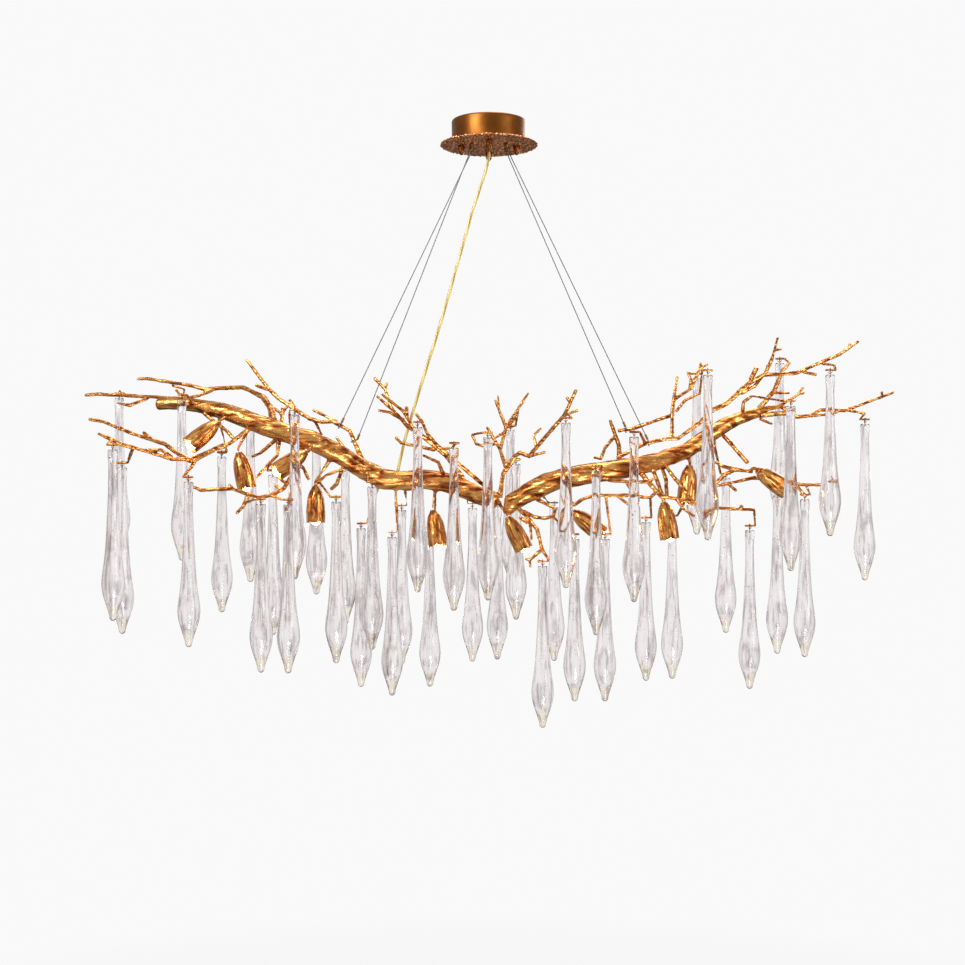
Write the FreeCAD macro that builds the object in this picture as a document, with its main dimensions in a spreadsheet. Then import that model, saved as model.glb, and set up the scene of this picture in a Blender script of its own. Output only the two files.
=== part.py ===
import FreeCAD, Part
import math
import os
import Sketcher
from FreeCAD import Placement, Rotation, Vector

# A branch chandelier: cast, twisted boughs on four wire cables, with glass drops that
# hang from fine twigs on wire links, and small pod-shaped lamp holders among the twigs.
# Millimetres. +Z is up, the origin is the middle of the ceiling face, -Y is the front.

doc = FreeCAD.newDocument("BranchChandelier")

# ---------------------------------------------------------------- driving sizes

SIZES = [
    ("bracket_reach", 100.0),
    ("bracket_width", 16.0),
    ("bracket_thick", 2.0),
    ("screw_spacing", 60.0),
    ("screw_hole", 5.0),
    ("stud_circle", 82.0),
    ("stud_dia", 4.0),
    ("stud_play", 0.4),
    ("can_dia", 111.0),
    ("can_height", 35.0),
    ("can_wall", 1.2),
    ("can_lip", 6.0),
    ("plate_dia", 145.0),
    ("plate_thick", 2.5),
    ("nut_dia", 10.0),
    ("nut_collar", 6.0),
    ("nut_dome", 8.0),
    ("nut_bore_depth", 9.0),
    ("gland_spread_x", 52.0),
    ("gland_spread_y", 26.0),
    ("gland_dia", 8.0),
    ("gland_drop", 6.0),
    ("gland_shank", 4.6),
    ("gland_shank_rise", 6.0),
    ("bush_dia", 12.0),
    ("bush_drop", 9.0),
    ("bush_shank", 7.0),
    ("bush_shank_rise", 5.0),
    ("hole_play", 0.6),
    ("terminal_length", 36.0),
    ("terminal_width", 14.0),
    ("terminal_height", 12.0),
    ("terminal_offset", 27.0),
    ("cord_dia", 3.6),
    ("cord_rest", 0.35),
    ("cable_dia", 1.4),
    ("eye_wire", 1.2),
    ("eye_play", 0.3),
    ("crimp_dia", 3.6),
    ("crimp_length", 8.0),
    ("slot_length", 30.0),
    ("slot_width", 4.0),
    ("slot_depth", 8.0),
    ("stub_radius", 2.0),
    ("stub_tip", 7.0),
    ("stub_root", 8.0),
    ("link_wire", 1.2),
    ("link_play", 0.3),
    ("link_reach", 10.0),
    ("head_above_hole", 3.0),
    ("head_width", 14.0),
    ("head_thick", 4.6),
    ("hole_width", 3.0),
    ("drop_length", 235.0),
    ("drop_width", 34.0),
    ("drop_depth", 31.0),
    ("neck_width", 12.0),
    ("nipple_width", 6.0),
    ("pod_length", 54.0),
    ("pod_width", 28.0),
    ("pod_wall", 1.6),
    ("pod_neck_width", 10.0),
    ("pod_floor", 12.0),
    ("socket_length", 17.0),
    ("socket_width", 15.0),
    ("bulb_width", 15.0),
    ("bulb_proud", 4.0),
    ("stem_radius", 2.6),
]

sheet = doc.addObject("Spreadsheet::Sheet", "Sizes")
for row, (alias, value) in enumerate(SIZES, start=1):
    sheet.set(f"A{row}", alias)
    sheet.set(f"B{row}", f"{value:g}")
    sheet.setAlias(f"B{row}", alias)
doc.recompute()


def size(alias):
    """A driving size, read back from the sheet."""
    return float(sheet.get(alias))


# Heights that several pieces share, measured down from the ceiling.
plate_top = -size("can_height")
plate_bottom = plate_top - size("plate_thick")

# ---------------------------------------------------------------- routes of the boughs
# Each route is a list of (x, y, z, radius) along the middle of one bough or twig, from
# the tip or the cut end towards what it grows from. The points follow the photograph.

MAIN_BRANCH_LEFT = [
    [(-497, 20, -419, 8.5), (-457, 12, -419, 9.2), (-419, 0, -425, 10.5), (-382, -12, -434, 12.5),
     (-348, -22, -448, 14), (-317, -26, -459, 14.5), (-290, -27, -467, 13.5), (-261, -24, -475, 14),
     (-234, -18, -488, 14), (-210, -10, -502, 14), (-186, 0, -518, 14.5), (-156, 8, -532, 15),
     (-127, 12, -534, 15), (-97, 14, -532, 15), (-67, 14, -536, 14.5), (-39, 10, -545, 14.5),
     (-12, 4, -557, 14), (12, 0, -564, 13)],
]
MAIN_BRANCH_RIGHT = [
    [(25, -2, -584, 6), (34, -2, -566, 13), (56, -8, -553, 14.5), (82, -14, -540, 15),
     (107, -20, -531, 14.5), (133, -25, -527, 15), (164, -30, -521, 15), (194, -32, -517, 14.5),
     (224, -30, -511, 13.5), (255, -26, -503, 12.5), (290, -18, -490, 12), (319, -8, -472, 11.5),
     (349, 2, -452, 11), (377, 10, -439, 9.5), (405, 16, -432, 7.5)],
]
BRANCH_LEFT = [
    [(-537, 62, -379, 2), (-523, 64, -378, 3), (-458, 70, -388, 3.2), (-433, 66, -395, 3.4),
     (-414, 62, -393, 3.8), (-372, 42, -393, 3.6), (-338, 14, -409, 4.6), (-325, 0, -425, 5),
     (-318, -14, -445, 6)],
    [(-611, 40, -405, 2.4), (-594, 44, -403, 3.2), (-465, 60, -409, 3), (-443, 64, -404, 3.2),
     (-423, 64, -396, 3)],
    [(-562, 38, -417, 2.2), (-544, 44, -420, 2.8), (-518, 52, -409, 2.6)],
    [(-561, 48, -397, 2.4), (-556, 50, -407, 2.8)],
    [(-477, 58, -395, 2.4), (-467, 60, -409, 2.8)],
    [(-486, 72, -388, 2), (-467, 70, -394, 2.2), (-465, 60, -409, 2.6)],
    [(-564, -112, -448, 2.4), (-545, -106, -451, 3), (-506, -90, -468, 3), (-464, -78, -482, 3.6),
     (-448, -72, -495, 3.4), (-431, -66, -505, 5), (-398, -54, -489, 3.4), (-386, -48, -484, 5),
     (-376, -42, -479, 3.2), (-351, -24, -457, 4)],
    [(-493, -88, -465, 2.4), (-483, -84, -474, 3)],
    [(-541, -150, -469, 2.4), (-511, -136, -484, 3.6), (-482, -120, -493, 3), (-450, -96, -504, 3),
     (-429, -72, -504, 4)],
    [(-482, -120, -492, 3), (-463, -108, -491, 3), (-450, -96, -501, 3)],
    [(-428, -70, -515, 2.8), (-423, -66, -505, 2.4), (-398, -56, -491, 2.2)],
    [(-421, -12, -435, 3.2), (-383, -34, -462, 2.6), (-372, -38, -474, 2.4)],
    [(-426, -70, -543, 2.4), (-414, -72, -548, 3), (-369, -74, -546, 3.2), (-331, -68, -559, 3.4),
     (-314, -60, -555, 3.2), (-299, -44, -546, 3.4), (-288, -26, -525, 3.6), (-278, -14, -497, 4.2),
     (-273, -18, -479, 5)],
    [(-374, -74, -539, 2.2), (-366, -74, -547, 2.8)],
    [(-361, -84, -581, 2.2), (-352, -78, -571, 2.8), (-345, -72, -554, 2.8)],
    [(-351, -8, -499, 2.2), (-338, -12, -494, 2.6), (-309, -20, -470, 4)],
    [(-339, -44, -530, 2.4), (-310, -32, -497, 3), (-308, -26, -469, 4)],
    [(-282, -19, -510, 3.4), (-272, -26, -516, 3), (-264, -26, -533, 2.6)],
    [(-311, -46, -540, 2.6), (-301, -47, -549, 2.8)],
    [(-307, -40, -528, 2), (-300, -40, -536, 2.6), (-293, -34, -537, 2.6)],
    [(-214, -16, -516, 3), (-240, -16, -526, 2.6), (-253, -20, -538, 2.8)],
    [(-215, -16, -513, 3), (-226, -2, -539, 3), (-235, 6, -547, 3)],
]
BRANCH_UPPER_LEFT = [
    [(-368, 46, -350, 2.2), (-332, 34, -396, 3.4), (-316, 30, -411, 3.2), (-268, 18, -442, 3.4),
     (-250, 14, -447, 3.2), (-233, 12, -446, 3.2), (-207, 8, -460, 3.4), (-186, 2, -507, 5)],
    [(-351, 30, -390, 3), (-333, 34, -397, 3)],
    [(-264, 22, -428, 2.4), (-227, 12, -446, 2.6)],
    [(-300, 26, -412, 2.2), (-291, 24, -424, 2.8)],
    [(-228, 10, -469, 2.2), (-196, -2, -510, 4)],
    [(-302, 26, -421, 2.2), (-308, 12, -432, 2.6), (-307, -16, -460, 3.6)],
    [(-309, 14, -426, 2.2), (-307, 10, -435, 2.4)],
    [(-320, 2, -426, 2.2), (-311, 8, -433, 2.4), (-308, 4, -441, 2.6)],
]
BRANCH_CENTRE = [
    [(-170, -4, -382, 2.2), (-153, -10, -400, 3), (-143, -18, -428, 3.2), (-119, -20, -455, 3.8),
     (-105, -18, -463, 3.6), (-64, -2, -496, 4.4), (-39, 10, -530, 5)],
    [(-151, -8, -390, 2.2), (-154, -10, -400, 2.6)],
    [(-158, -30, -407, 2.2), (-126, -28, -432, 2.8), (-110, -20, -459, 3)],
    [(-166, -2, -409, 2.2), (-142, -16, -430, 2.8)],
    [(-163, -24, -431, 2.4), (-146, -22, -434, 2.8), (-125, -20, -445, 3)],
    [(-121, -28, -426, 2.8), (-120, -26, -439, 2.8)],
    [(-108, -16, -435, 2.2), (-98, -14, -449, 2.8), (-86, -12, -476, 2.8)],
    [(-136, -40, -471, 2.2), (-129, -34, -479, 2.6), (-80, -10, -489, 3)],
    [(-97, -30, -497, 2.2), (-75, -10, -507, 2.8), (-67, 8, -527, 3.4)],
    [(-99, -52, -445, 2.2), (-89, -50, -467, 3), (-74, -46, -484, 3.4), (12, -6, -558, 4)],
    [(-48, -44, -480, 2.2), (-57, -42, -487, 2.4), (-69, -44, -488, 2.8)],
    [(16, 2, -559, 5), (21, 4, -524, 3.8), (30, 2, -510, 5), (38, -2, -498, 3.8), (46, -8, -493, 3.8),
     (59, -16, -498, 3.6), (109, -58, -439, 3.2), (125, -70, -404, 2.4)],
    [(112, -62, -414, 2.2), (117, -64, -422, 2.4)],
    [(109, -58, -440, 2.4), (128, -52, -432, 2.2)],
    [(70, -24, -489, 2.6), (66, -18, -467, 2.4), (77, -14, -457, 2.2)],
    [(60, -18, -498, 2.6), (83, -10, -492, 2.2)],
    [(26, 3, -516, 4.4), (16, 2, -487, 3), (-3, -14, -455, 2.2)],
    [(17, 2, -487, 3), (25, -2, -455, 3), (59, 12, -403, 2)],
    [(25, -2, -455, 2.6), (9, -14, -415, 2)],
    [(15, -10, -425, 2), (13, -8, -408, 1.8)],
    [(27, -2, -455, 2.4), (43, -14, -437, 2)],
    [(27, -2, -455, 2.2), (38, -10, -453, 2)],
    [(8, -20, -472, 2), (25, -3, -461, 2.4)],
    [(-25, -30, -467, 2), (-19, -26, -480, 2.4), (-7, -20, -484, 2.6), (12, -6, -479, 2.6)],
    [(44, -14, -576, 4), (57, -24, -588, 3), (70, -34, -605, 3.2), (77, -40, -634, 3),
     (59, -44, -650, 2.2), (60, -46, -660, 1.8)],
    [(59, -44, -650, 2), (53, -42, -648, 1.8)],
    [(77, -40, -634, 2.6), (87, -40, -650, 2.4)],
    [(60, -26, -592, 2.6), (62, -30, -621, 2.2)],
    [(63, -14, -554, 4), (73, -30, -563, 3.2), (96, -48, -575, 2.8), (93, -50, -586, 2.8),
     (81, -48, -589, 2.8), (65, -38, -587, 2.8), (51, -22, -579, 3)],
    [(45, -20, -588, 3), (57, -26, -596, 3)],
]
BRANCH_RIGHT = [
    [(181, 14, -444, 2.2), (192, -6, -481, 3.6), (192, -18, -499, 4), (188, -24, -513, 4.6)],
    [(154, -22, -500, 2.4), (164, -24, -502, 3), (171, -14, -486, 3), (187, 2, -468, 3)],
    [(192, 4, -460, 3), (213, -4, -457, 3), (266, -34, -439, 3)],
    [(188, -22, -501, 3.4), (228, -36, -480, 3.4), (259, -42, -473, 3.2), (275, -42, -473, 3.2),
     (310, -30, -448, 3.6), (329, -24, -430, 4.4), (349, -18, -421, 4.4), (386, -6, -389, 4.4),
     (407, 0, -377, 3.6), (430, 4, -376, 3), (457, 0, -374, 3.2), (514, -24, -349, 2.8),
     (539, -36, -331, 2)],
    [(504, -34, -365, 2), (491, -16, -362, 2.4)],
    [(486, 0, -377, 2.4), (466, -2, -373, 2.6)],
    [(395, -14, -367, 3.8), (387, -8, -385, 3.8)],
    [(529, -26, -333, 1.8), (527, -30, -338, 2)],
    [(266, -42, -471, 3.2), (268, -34, -430, 3.2), (276, -26, -382, 2.2)],
    [(270, -32, -416, 2.8), (296, -28, -399, 2.8), (310, -22, -369, 2.4), (322, -20, -363, 2)],
    [(294, -28, -400, 2.4), (297, -18, -385, 2.4), (293, -14, -374, 2)],
    [(311, -22, -361, 1.8), (310, -22, -370, 2)],
    [(273, -36, -433, 2.4), (285, -44, -417, 2.6), (305, -54, -408, 2)],
    [(373, -12, -405, 3), (394, -2, -394, 2.8), (413, 10, -372, 2.8), (424, 18, -351, 2.6),
     (434, 26, -319, 1.8)],
    [(436, 10, -338, 1.8), (427, 20, -339, 2.2)],
    [(414, 8, -362, 1.8), (416, 12, -368, 2)],
    [(378, 10, -436, 3.4), (378, 0, -417, 2.8), (389, -8, -409, 2)],
    [(401, 16, -430, 4.4), (429, 28, -399, 3.4), (444, 38, -367, 3), (455, 42, -356, 2.4)],
    [(429, 28, -402, 2.4), (450, 20, -403, 2)],
    [(393, 14, -435, 6), (417, 14, -426, 5), (434, 10, -423, 4), (444, 6, -428, 4.4)],
    [(393, 14, -437, 6), (445, 26, -433, 4), (464, 30, -438, 3.6), (486, 34, -436, 3.4),
     (500, 38, -427, 3.4), (539, 42, -428, 3), (615, 50, -400, 2)],
    [(486, 34, -436, 2.8), (506, 30, -435, 2.6), (527, 38, -430, 2.6)],
    [(595, 44, -399, 2), (597, 48, -406, 2.2)],
    [(539, 42, -427, 2.8), (566, 30, -433, 2)],
    [(436, 12, -421, 2.6), (462, 20, -406, 2.2), (472, 24, -394, 1.8)],
    [(463, 20, -405, 2), (471, 14, -403, 1.8)],
    [(405, 16, -442, 2.6), (421, 2, -450, 2)],
]
BRANCH_LOWER = [
    [(347, 4, -465, 3.6), (380, -22, -508, 3.4)],
    [(313, -14, -488, 3.6), (329, -22, -505, 3), (344, -30, -514, 3), (361, -34, -518, 4),
     (386, -26, -521, 3)],
    [(361, -34, -518, 2.8), (343, -42, -525, 3), (329, -50, -538, 3), (330, -50, -542, 3),
     (391, -26, -529, 3.4)],
    [(347, -44, -538, 2.6), (358, -52, -549, 2.2)],
    [(335, 0, -484, 3), (334, 0, -475, 3.4)],
    [(384, -28, -530, 3), (423, -8, -533, 2.8), (467, 6, -540, 3), (521, 10, -541, 2.4)],
    [(455, 4, -538, 2.6), (468, -10, -558, 2.2)],
    [(512, 12, -532, 2.2), (504, 8, -540, 2.6)],
    [(221, -32, -522, 4.6), (250, -46, -557, 3.8), (270, -48, -560, 3), (314, -42, -573, 2.8),
     (388, -30, -577, 2.6)],
    [(369, -34, -570, 3.2), (368, -34, -576, 3.4)],
    [(258, -28, -512, 3.4), (297, -45, -566, 3)],
    [(254, -26, -516, 3.4), (259, -30, -533, 3.4), (258, -46, -557, 3.4)],
    [(296, -62, -586, 2.2), (281, -56, -575, 2.6), (272, -48, -561, 3)],
    [(232, -38, -536, 2.8), (205, -44, -536, 2.8), (177, -42, -534, 3), (162, -36, -529, 4)],
    [(241, -44, -530, 2.4), (230, -38, -538, 2.6)],
    [(136, -44, -561, 2.6), (155, -52, -555, 3), (202, -56, -556, 3.4), (234, -46, -559, 2.8),
     (243, -44, -551, 3)],
    [(185, -55, -556, 2.4), (201, -66, -569, 2.2)],
    [(200, -44, -538, 2.4), (214, -54, -559, 2.6)],
    [(136, -44, -561, 2.8), (124, -36, -570, 3), (116, -26, -560, 3.4), (113, -22, -545, 4)],
]

# Where each drop hangs: the middle of its twig, the bough that the twig grows from, and
# the drops that share one length of wire with it.
HOOKS = {
    "a1": ((-564, 60, -401), "branch_left"),
    "a2": ((-518, -160, -485), "branch_left"),
    "a3": ((-520, -100, -509), "branch_left"),
    "c": ((-450, -30, -409), "main_branch_left"),
    "d": ((-428, -90, -529), "branch_left"),
    "e1": ((-404, 40, -491), "main_branch_left"),
    "f": ((-356, 10, -443), "main_branch_left"),
    "g": ((-319, -130, -560), "branch_left"),
    "h": ((-318, -20, -519), "branch_left"),
    "i": ((-278, -80, -433), "main_branch_left"),
    "j": ((-281, -130, -561), "branch_left"),
    "l": ((-261, 40, -464), "branch_upper_left"),
    "m": ((-223, -40, -558), "branch_left"),
    "n": ((-219, 60, -511), "main_branch_left"),
    "o": ((-190, 0, -598), "main_branch_left"),
    "p": ((-169, -60, -536), "main_branch_left"),
    "q": ((-144, 0, -611), "main_branch_left"),
    "r": ((-133, 60, -572), "main_branch_left"),
    "s": ((-102, -90, -451), "branch_centre"),
    "t": ((-90, 60, -606), "main_branch_left"),
    "v": ((-51, -60, -480), "branch_centre"),
    "w": ((-25, 70, -569), "main_branch_left"),
    "x": ((-2, -60, -465), "branch_centre"),
    "y": ((13, 70, -566), "main_branch_left"),
    "aa": ((34, 110, -448), "branch_centre"),
    "z": ((41, 40, -502), "branch_centre"),
    "ab": ((78, -40, -652), "branch_centre"),
    "ac": ((100, 70, -568), "main_branch_right"),
    "ad": ((124, -50, -612), "branch_centre"),
    "ae": ((109, -90, -445), "branch_centre"),
    "af": ((152, -90, -512), "main_branch_right"),
    "ag": ((168, -50, -612), "branch_lower"),
    "ah": ((206, -90, -465), "branch_right"),
    "ai": ((233, 0, -589), "branch_lower"),
    "aj": ((272, 0, -586), "branch_lower"),
    "ak": ((311, -90, -377), "branch_right"),
    "al": ((313, 30, -373), "branch_right"),
    "am": ((497, -40, -373), "branch_right"),
    "an": ((566, 30, -442), "branch_right"),
    "ao": ((444, 60, -348), "branch_right"),
    "ap": ((430, -86, -421), "branch_right"),
    "ar": ((430, 10, -550), "branch_lower"),
    "as": ((471, 10, -555), "branch_lower"),
    "at": ((360, 50, -523), "branch_lower"),
    "av": ((387, 0, -601), "branch_lower"),
}

# Drops that swing together on one straight length of twig.
SHARED = [("g", "j"), ("o", "q"), ("w", "y"), ("ad", "ag"), ("ai", "aj"), ("ar", "as")]

# Each lamp: the middle of its pod's neck, a point that its mouth looks at, and its bough.
LAMPS = [
    ((-395, -44, -450), (-418, -56, -471), "main_branch_left"),
    ((-365, -38, -493), (-356, -38, -533), "main_branch_left"),
    ((-255, -20, -542), (-255, -20, -582), "main_branch_left"),
    ((-266, -44, -493), (-286, -52, -507), "main_branch_left"),
    ((-83, 8, -578), (-77, 4, -620), "main_branch_left"),
    ((28, -2, -588), (36, -2, -604), "main_branch_left"),
    ((123, -26, -580), (139, -23, -592), "main_branch_right"),
    ((295, -20, -512), (293, -22, -530), "main_branch_right"),
    ((254, -46, -566), (258, -46, -591), "main_branch_right"),
    ((389, -50, -519), (410, -44, -533), "branch_lower"),
]

# The four cables: where each one grips its bough, and which bough that is.
CABLE_EYES = [
    ((-221, 12, -450), BRANCH_UPPER_LEFT),
    ((-194, 8, -472), BRANCH_UPPER_LEFT),
    ((203, 0, -458), BRANCH_RIGHT),
    ((232, -38, -478), BRANCH_RIGHT),
]

# The power cord's route from the bush under the plate to the slot in the main branch, and
# the point over the slot's floor where the branch's top would be.
CORD_ROUTE = [
    (0, 0, -62),
    (-24, 5, -130),
    (-38, 8, -180),
    (-72, 10, -300),
    (-103, 12, -396),
    (-131, 11, -490),
]
CORD_ENTRY = (-137, 11, -519)

# ---------------------------------------------------------------- shared functions

sub_parts = []

# Flat sides of the small round pieces.
STUD_SIDES = 8
NUT_SIDES = 10
LAMP_SIDES = 8
BULB_SIDES = 6


def keep(name, shape, placement=None):
    """A sub-part whose shape is made here, with its own label and placement."""
    item = doc.addObject("Part::Feature", name)
    item.Label = name
    item.Shape = shape
    if placement is not None:
        item.Placement = placement
    sub_parts.append(item)
    return item


def origin_plane(body, role):
    """The body's own origin plane or axis."""
    for item in body.Origin.OriginFeatures:
        if item.Role == role:
            return item
    raise ValueError(role)


def sketch_on(body, name, drop_expression=None):
    """A sketch on the body's own XY plane, lowered to a height if one is given."""
    sketch = body.newObject("Sketcher::SketchObject", name)
    sketch.AttachmentSupport = [(origin_plane(body, "XY_Plane"), "")]
    sketch.MapMode = "FlatFace"
    if drop_expression is not None:
        sketch.setExpression("AttachmentOffset.Base.z", drop_expression)
    return sketch


def circle(sketch, name, start_radius, dia_expression, x_expression=None, y_expression=None):
    """A circle in the sketch, of a bound diameter, at the origin or at a bound place."""
    at_origin = x_expression is None and y_expression is None
    start = Vector(0, 0, 0) if at_origin else Vector(start_radius * 3, start_radius * 3, 0)
    edge = sketch.addGeometry(Part.Circle(start, Vector(0, 0, 1), start_radius), False)
    index = sketch.addConstraint(Sketcher.Constraint("Diameter", edge, 2 * start_radius))
    sketch.renameConstraint(index, name + "_dia")
    sketch.setExpression(f"Constraints.{name}_dia", dia_expression)
    if at_origin:
        sketch.addConstraint(Sketcher.Constraint("Coincident", edge, 3, -1, 1))
        return edge
    for kind, letter, expression, value in (
        ("DistanceX", "x", x_expression, start.x),
        ("DistanceY", "y", y_expression, start.y),
    ):
        if expression is None:
            sketch.addConstraint(
                Sketcher.Constraint("PointOnObject", edge, 3, -1 if letter == "y" else -2)
            )
            continue
        index = sketch.addConstraint(Sketcher.Constraint(kind, -1, 1, edge, 3, value))
        sketch.renameConstraint(index, f"{name}_{letter}")
        sketch.setExpression(f"Constraints.{name}_{letter}", expression)
    return edge


def rectangle(sketch, name, start_x, start_y, x_expression, y_expression):
    """A rectangle centred on the sketch's origin, of a bound length and width."""
    corners = [
        Vector(-start_x, -start_y, 0),
        Vector(start_x, -start_y, 0),
        Vector(start_x, start_y, 0),
        Vector(-start_x, start_y, 0),
    ]
    edges = [
        sketch.addGeometry(Part.LineSegment(corners[i], corners[(i + 1) % 4]), False)
        for i in range(4)
    ]
    for i in range(4):
        sketch.addConstraint(
            Sketcher.Constraint("Coincident", edges[i], 2, edges[(i + 1) % 4], 1)
        )
    sketch.addConstraint(Sketcher.Constraint("Horizontal", edges[0]))
    sketch.addConstraint(Sketcher.Constraint("Horizontal", edges[2]))
    sketch.addConstraint(Sketcher.Constraint("Vertical", edges[1]))
    sketch.addConstraint(Sketcher.Constraint("Vertical", edges[3]))
    sketch.addConstraint(Sketcher.Constraint("Symmetric", edges[0], 1, edges[1], 2, -1, 1))
    for letter, edge, kind, value, expression in (
        ("x", edges[0], "DistanceX", 2 * start_x, x_expression),
        ("y", edges[1], "DistanceY", 2 * start_y, y_expression),
    ):
        index = sketch.addConstraint(Sketcher.Constraint(kind, edge, 1, edge, 2, value))
        sketch.renameConstraint(index, f"{name}_{letter}")
        sketch.setExpression(f"Constraints.{name}_{letter}", expression)


def pad(body, name, sketch, length_expression, downward=True):
    """A pad of the sketch, of a bound length."""
    feature = body.newObject("PartDesign::Pad", name)
    feature.Profile = sketch
    feature.Reversed = downward
    feature.setExpression("Length", length_expression)
    doc.recompute()
    return feature


def pocket(body, name, sketch, length_expression, downward=True):
    """A pocket of the sketch, of a bound depth; it has to take material away."""
    before = body.Shape.Volume
    feature = body.newObject("PartDesign::Pocket", name)
    feature.Profile = sketch
    feature.Reversed = not downward
    feature.setExpression("Length", length_expression)
    doc.recompute()
    if body.Shape.Volume >= before:
        raise ValueError(f"{name} cuts nothing")
    return feature


def around_axis(body, name, features, count):
    """Copies of features, evenly round the vertical axis."""
    pattern = body.newObject("PartDesign::PolarPattern", name)
    pattern.Originals = features
    pattern.Axis = (origin_plane(body, "Z_Axis"), [""])
    pattern.Angle = 360
    pattern.Occurrences = count
    body.Tip = pattern
    doc.recompute()
    return pattern


def new_body(name):
    """An empty body that is handed on as a sub-part."""
    body = doc.addObject("PartDesign::Body", name)
    body.Label = name
    sub_parts.append(body)
    return body


def skin(rings):
    """A closed solid through rings of points: flat sides, and a flat end at each end ring."""
    faces = []

    def face(*points):
        faces.append(Part.Face(Part.makePolygon(list(points) + [points[0]])))

    count = len(rings[0])
    for low, high in zip(rings[:-1], rings[1:]):
        for i in range(count):
            a, b = low[i], low[(i + 1) % count]
            c, d = high[(i + 1) % count], high[i]
            flat = abs((b - a).cross(d - a).normalize().dot(c - a)) < 1e-7
            if flat:
                face(a, b, c, d)
            else:
                face(a, b, c)
                face(a, c, d)
    face(*reversed(rings[0]))
    face(*rings[-1])
    solid = Part.Solid(Part.Shell(faces))
    if solid.Volume < 0:
        solid.reverse()
    return solid


def rings_of(stations, sides):
    """Rings round the Z axis at (height, width) stations."""
    rings = []
    for height, width in stations:
        radius = width / 2
        rings.append([
            Vector(radius * math.cos(math.pi * (2 * i + 1) / sides),
                   radius * math.sin(math.pi * (2 * i + 1) / sides), height)
            for i in range(sides)
        ])
    return rings


def turned(seat, stations, sides):
    """A small turned piece with flat sides, through (height over its seat, width) stations."""
    return skin([[seat + corner for corner in ring] for ring in rings_of(stations, sides)])


def across(direction):
    """Two directions square to a given one and to each other."""
    level = Vector(0, 0, 1) if abs(direction.z) < 0.9 else Vector(0, 1, 0)
    side = direction.cross(level).normalize()
    return side, side.cross(direction).normalize()


def ring_at(centre, direction, radius, sides, start=None):
    """Corners of an even-sided ring square to a direction; start carries the first corner on."""
    side, up = across(direction)
    if start is not None:
        side = (start - direction * start.dot(direction)).normalize()
        up = side.cross(direction).normalize()
    turn = math.pi / sides
    points = []
    for i in range(sides):
        angle = turn + 2 * math.pi * i / sides
        points.append(centre + side * (radius * math.cos(angle)) + up * (radius * math.sin(angle)))
    return points, side


def limb(route, sides):
    """A tapering bough along a route of (x, y, z, radius)."""
    points = [Vector(*p[:3]) for p in route]
    runs = [(b - a).normalize() for a, b in zip(points[:-1], points[1:])]
    rings = []
    side = None
    for i, point in enumerate(points):
        if i == 0:
            direction = runs[0]
        elif i == len(points) - 1:
            direction = runs[-1]
        else:
            direction = (runs[i - 1] + runs[i]).normalize()
        ring, side = ring_at(point, direction, route[i][3], sides, side)
        rings.append(ring)
    return skin(rings)


def nearest_point(routes, place):
    """Where a bough's surface is nearest to a place: the point on its middle, radius and run."""
    best = None
    for route in routes:
        for a, b in zip(route[:-1], route[1:]):
            start, end = Vector(*a[:3]), Vector(*b[:3])
            run = end - start
            share = max(0.0, min(1.0, (place - start).dot(run) / run.dot(run)))
            point = start + run * share
            radius = a[3] + (b[3] - a[3]) * share
            away = (place - point).Length - radius
            if best is None or away < best[0]:
                best = (away, point, radius, run.normalize())
    return best[1:]


def tube(points, radius, name):
    """A tube along straight runs joined by tangent arcs, checked by its volume."""
    points = [Vector(*p) for p in points]
    edges = []
    radii = []
    length = 0.0
    start = points[0]
    for before, corner, after in zip(points[:-2], points[1:-1], points[2:]):
        run_in = corner - before
        run_out = after - corner
        turn = run_in.getAngle(run_out)
        cut_back = 0.45 * min(run_in.Length, run_out.Length)
        arc_radius = cut_back / math.tan(turn / 2)
        radii.append(arc_radius)
        entry = corner - run_in.normalize() * cut_back
        leave = corner + run_out.normalize() * cut_back
        inward = (run_out - run_in).normalize()
        to_centre = arc_radius / math.cos(turn / 2)
        middle = corner + inward * (to_centre - arc_radius)
        edges.append(Part.makeLine(start, entry))
        edges.append(Part.Arc(entry, middle, leave).toShape())
        length += (entry - start).Length + arc_radius * turn
        start = leave
    edges.append(Part.makeLine(start, points[-1]))
    length += (points[-1] - start).Length
    path = Part.Wire(edges)
    direction = (points[1] - points[0]).normalize()
    section = Part.Wire([Part.makeCircle(radius, points[0], direction)])
    solid = path.makePipeShell([section], True, False)
    expected = math.pi * radius * radius * length
    if abs(solid.Volume - expected) > 0.01 * expected:
        raise ValueError(f"{name}: volume {solid.Volume:.1f} for {expected:.1f}")
    radii_text = ", ".join(f"{r:.0f}" for r in radii)
    print(f"{name}: {length:.0f} mm long, arcs of radius {radii_text}")
    return solid.Solids[0] if solid.Solids else solid


# ---------------------------------------------------------------- canopy

def ceiling_bracket():
    """A steel cross that is screwed to the ceiling and carries the four studs."""
    body = new_body("ceiling_bracket")
    along = sketch_on(body, "bracket_along")
    rectangle(along, "arm", 40, 8, "Sizes.bracket_reach", "Sizes.bracket_width")
    pad(body, "bracket_arm", along, "Sizes.bracket_thick")
    over = sketch_on(body, "bracket_across")
    rectangle(over, "arm", 8, 40, "Sizes.bracket_width", "Sizes.bracket_reach")
    pad(body, "bracket_cross_arm", over, "Sizes.bracket_thick")
    holes = sketch_on(body, "bracket_holes")
    half = "Sizes.screw_spacing / 2"
    circle(holes, "screw_right", 2.5, "Sizes.screw_hole", half)
    mirror = sketch_on(body, "bracket_holes_left")
    circle(mirror, "screw_left", 2.5, "Sizes.screw_hole", half)
    mirror.setExpression("AttachmentOffset.Base.x", "-Sizes.screw_spacing")
    pocket(body, "screw_hole_right", holes, "Sizes.bracket_thick")
    pocket(body, "screw_hole_left", mirror, "Sizes.bracket_thick")


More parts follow.
